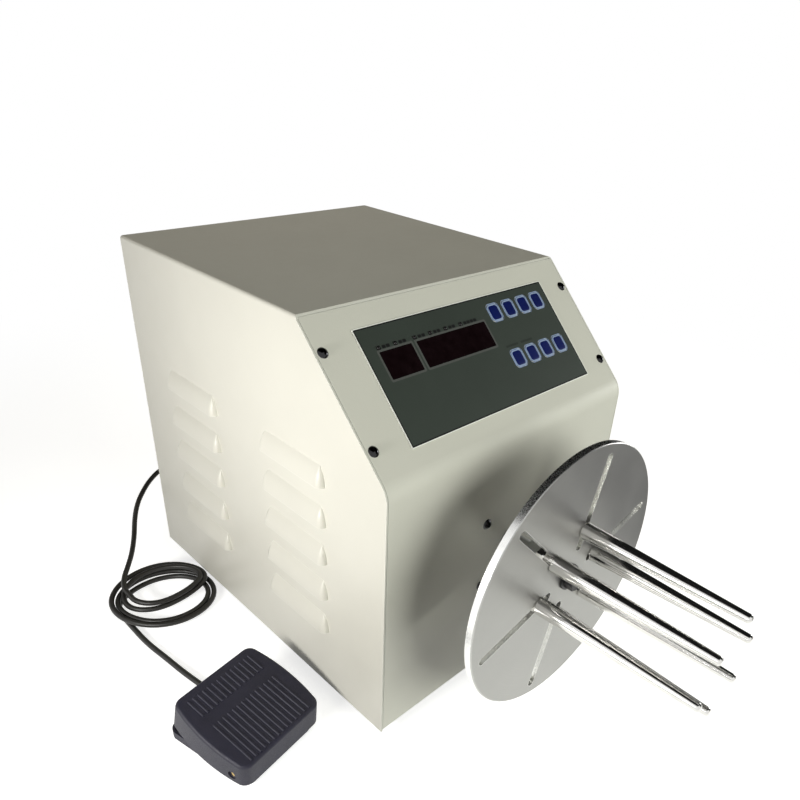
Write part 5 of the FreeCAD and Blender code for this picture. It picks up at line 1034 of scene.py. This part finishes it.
# Distances out from the inner end or from the rear panel, and radii there.
INNER_NUT = [(0.0, 0.0085), (0.0006, 0.0095)]
OUTER_NUT = [(0.0060, 0.0095), (0.0070, 0.0088), (0.0075, 0.0075), (0.0077, 0.0062)]
TAIL_FROM = 0.0081
TAIL_RINGS = 5
TAIL_START = 0.0062     # the tail's radius at the nut
TAIL_END = 0.0042       # and at its tip
TIP_ROUND = 0.0006
# Along one ring, as a share of its length, and how far it stands out there.
RING_SHAPE = [(0.0, -0.0008), (0.25, -0.0008), (0.35, 0.0), (0.9, -0.0001)]


def turned_piece(name, centre, profile):
    """A closed piece turned about a line along Y, from pairs of y and radius, front to back."""
    points = []
    faces = []
    for y, radius in profile:
        for side in range(GLAND_SIDES):
            angle = side / GLAND_SIDES * 2 * math.pi
            x = centre.x + radius * math.cos(angle)
            points.append((x, y, centre.z + radius * math.sin(angle)))
    for ring in range(len(profile) - 1):
        for i in range(GLAND_SIDES):
            j = (i + 1) % GLAND_SIDES
            faces.append((ring * GLAND_SIDES + j, ring * GLAND_SIDES + i,
                          (ring + 1) * GLAND_SIDES + i, (ring + 1) * GLAND_SIDES + j))
    faces.append(tuple(range(GLAND_SIDES)))
    last = (len(profile) - 1) * GLAND_SIDES
    faces.append(tuple(reversed(range(last, last + GLAND_SIDES))))
    return mesh_piece(name, points, faces, smooth=False)


def gland_profile():
    """Inside nut, neck through the panel, outer nut with a chamfer, and the ringed tail."""
    inside, wall = (corner.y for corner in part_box("rear_panel"))
    profile = [(GLAND_LOW.y + out, radius) for out, radius in INNER_NUT]
    profile += [(inside - PANEL_GAP, GLAND_NUT), (inside - PANEL_GAP + END_STEP, GLAND_NECK)]
    profile += [(wall, GLAND_NECK), (wall + END_STEP, GLAND_NUT)]
    profile += [(wall + out, radius) for out, radius in OUTER_NUT]
    start = wall + TAIL_FROM
    length = (GLAND_HIGH.y - start) / TAIL_RINGS
    for ring in range(TAIL_RINGS):
        radius = TAIL_START + (TAIL_END - TAIL_START) * (ring + 0.5) / TAIL_RINGS
        y = start + ring * length
        profile += [(y + share * length, radius + rise) for share, rise in RING_SHAPE]
    profile.append((GLAND_HIGH.y, TAIL_END - TIP_ROUND))
    return profile


gland = turned_piece("gland", (GLAND_LOW + GLAND_HIGH) / 2, gland_profile())
gland.data.materials.append(FINISHES["black_plastic"])
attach(gland, "root")
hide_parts("cord_gland")
print(f"gland: y {GLAND_LOW.y:.4f} to {GLAND_HIGH.y:.4f}, {len(gland.data.polygons)} faces")

# %% [markdown]
# A mains rocker carries two white marks, a line for on and a ring for off. They are printed, so
# the printed frame draws them too: a narrow one fills to a line, and a square one with corners as
# large as itself is a ring.

# %% Marks on the rocker
MARK_APART = 0.0055
MARK_RING = 0.0019
MARK_LINE = 0.0006
MARK_WHITE = srgb(228, 228, 224)
ROCKER_BLACK = (0.018, 0.018, 0.019, 1)


def marked_rocker():
    """Black rocker with a white line above and a white ring below."""
    material = moulded("marked_rocker", ROCKER_BLACK, 0.40, 0.0008, 0.00002, dusty=0.05)
    tree = material.node_tree
    base = tree.nodes["Principled BSDF"].inputs["Base Color"]
    low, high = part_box("power_rocker")
    middle = (low + high) / 2
    above = middle.z + MARK_APART
    line = filled(tree, middle.x, above, MARK_LINE / 2, MARK_RING, Up_Axis=(0, 0, 1))
    below = middle.z - MARK_APART
    ring = effect(tree, printed, Middle_X=middle.x, Middle_Up=below, Half_X=MARK_RING,
                  Half_Up=MARK_RING, Corner=MARK_RING, Line=MARK_LINE, Up_Axis=(0, 0, 1))
    marked = mixed(tree, maths(tree, "MAXIMUM", line, ring), base.links[0].from_socket, MARK_WHITE)
    tree.links.new(marked, base)
    return material


nodes["power_rocker"].data.materials[0] = marked_rocker()
print(f"{len(bpy.data.materials)} materials in all")
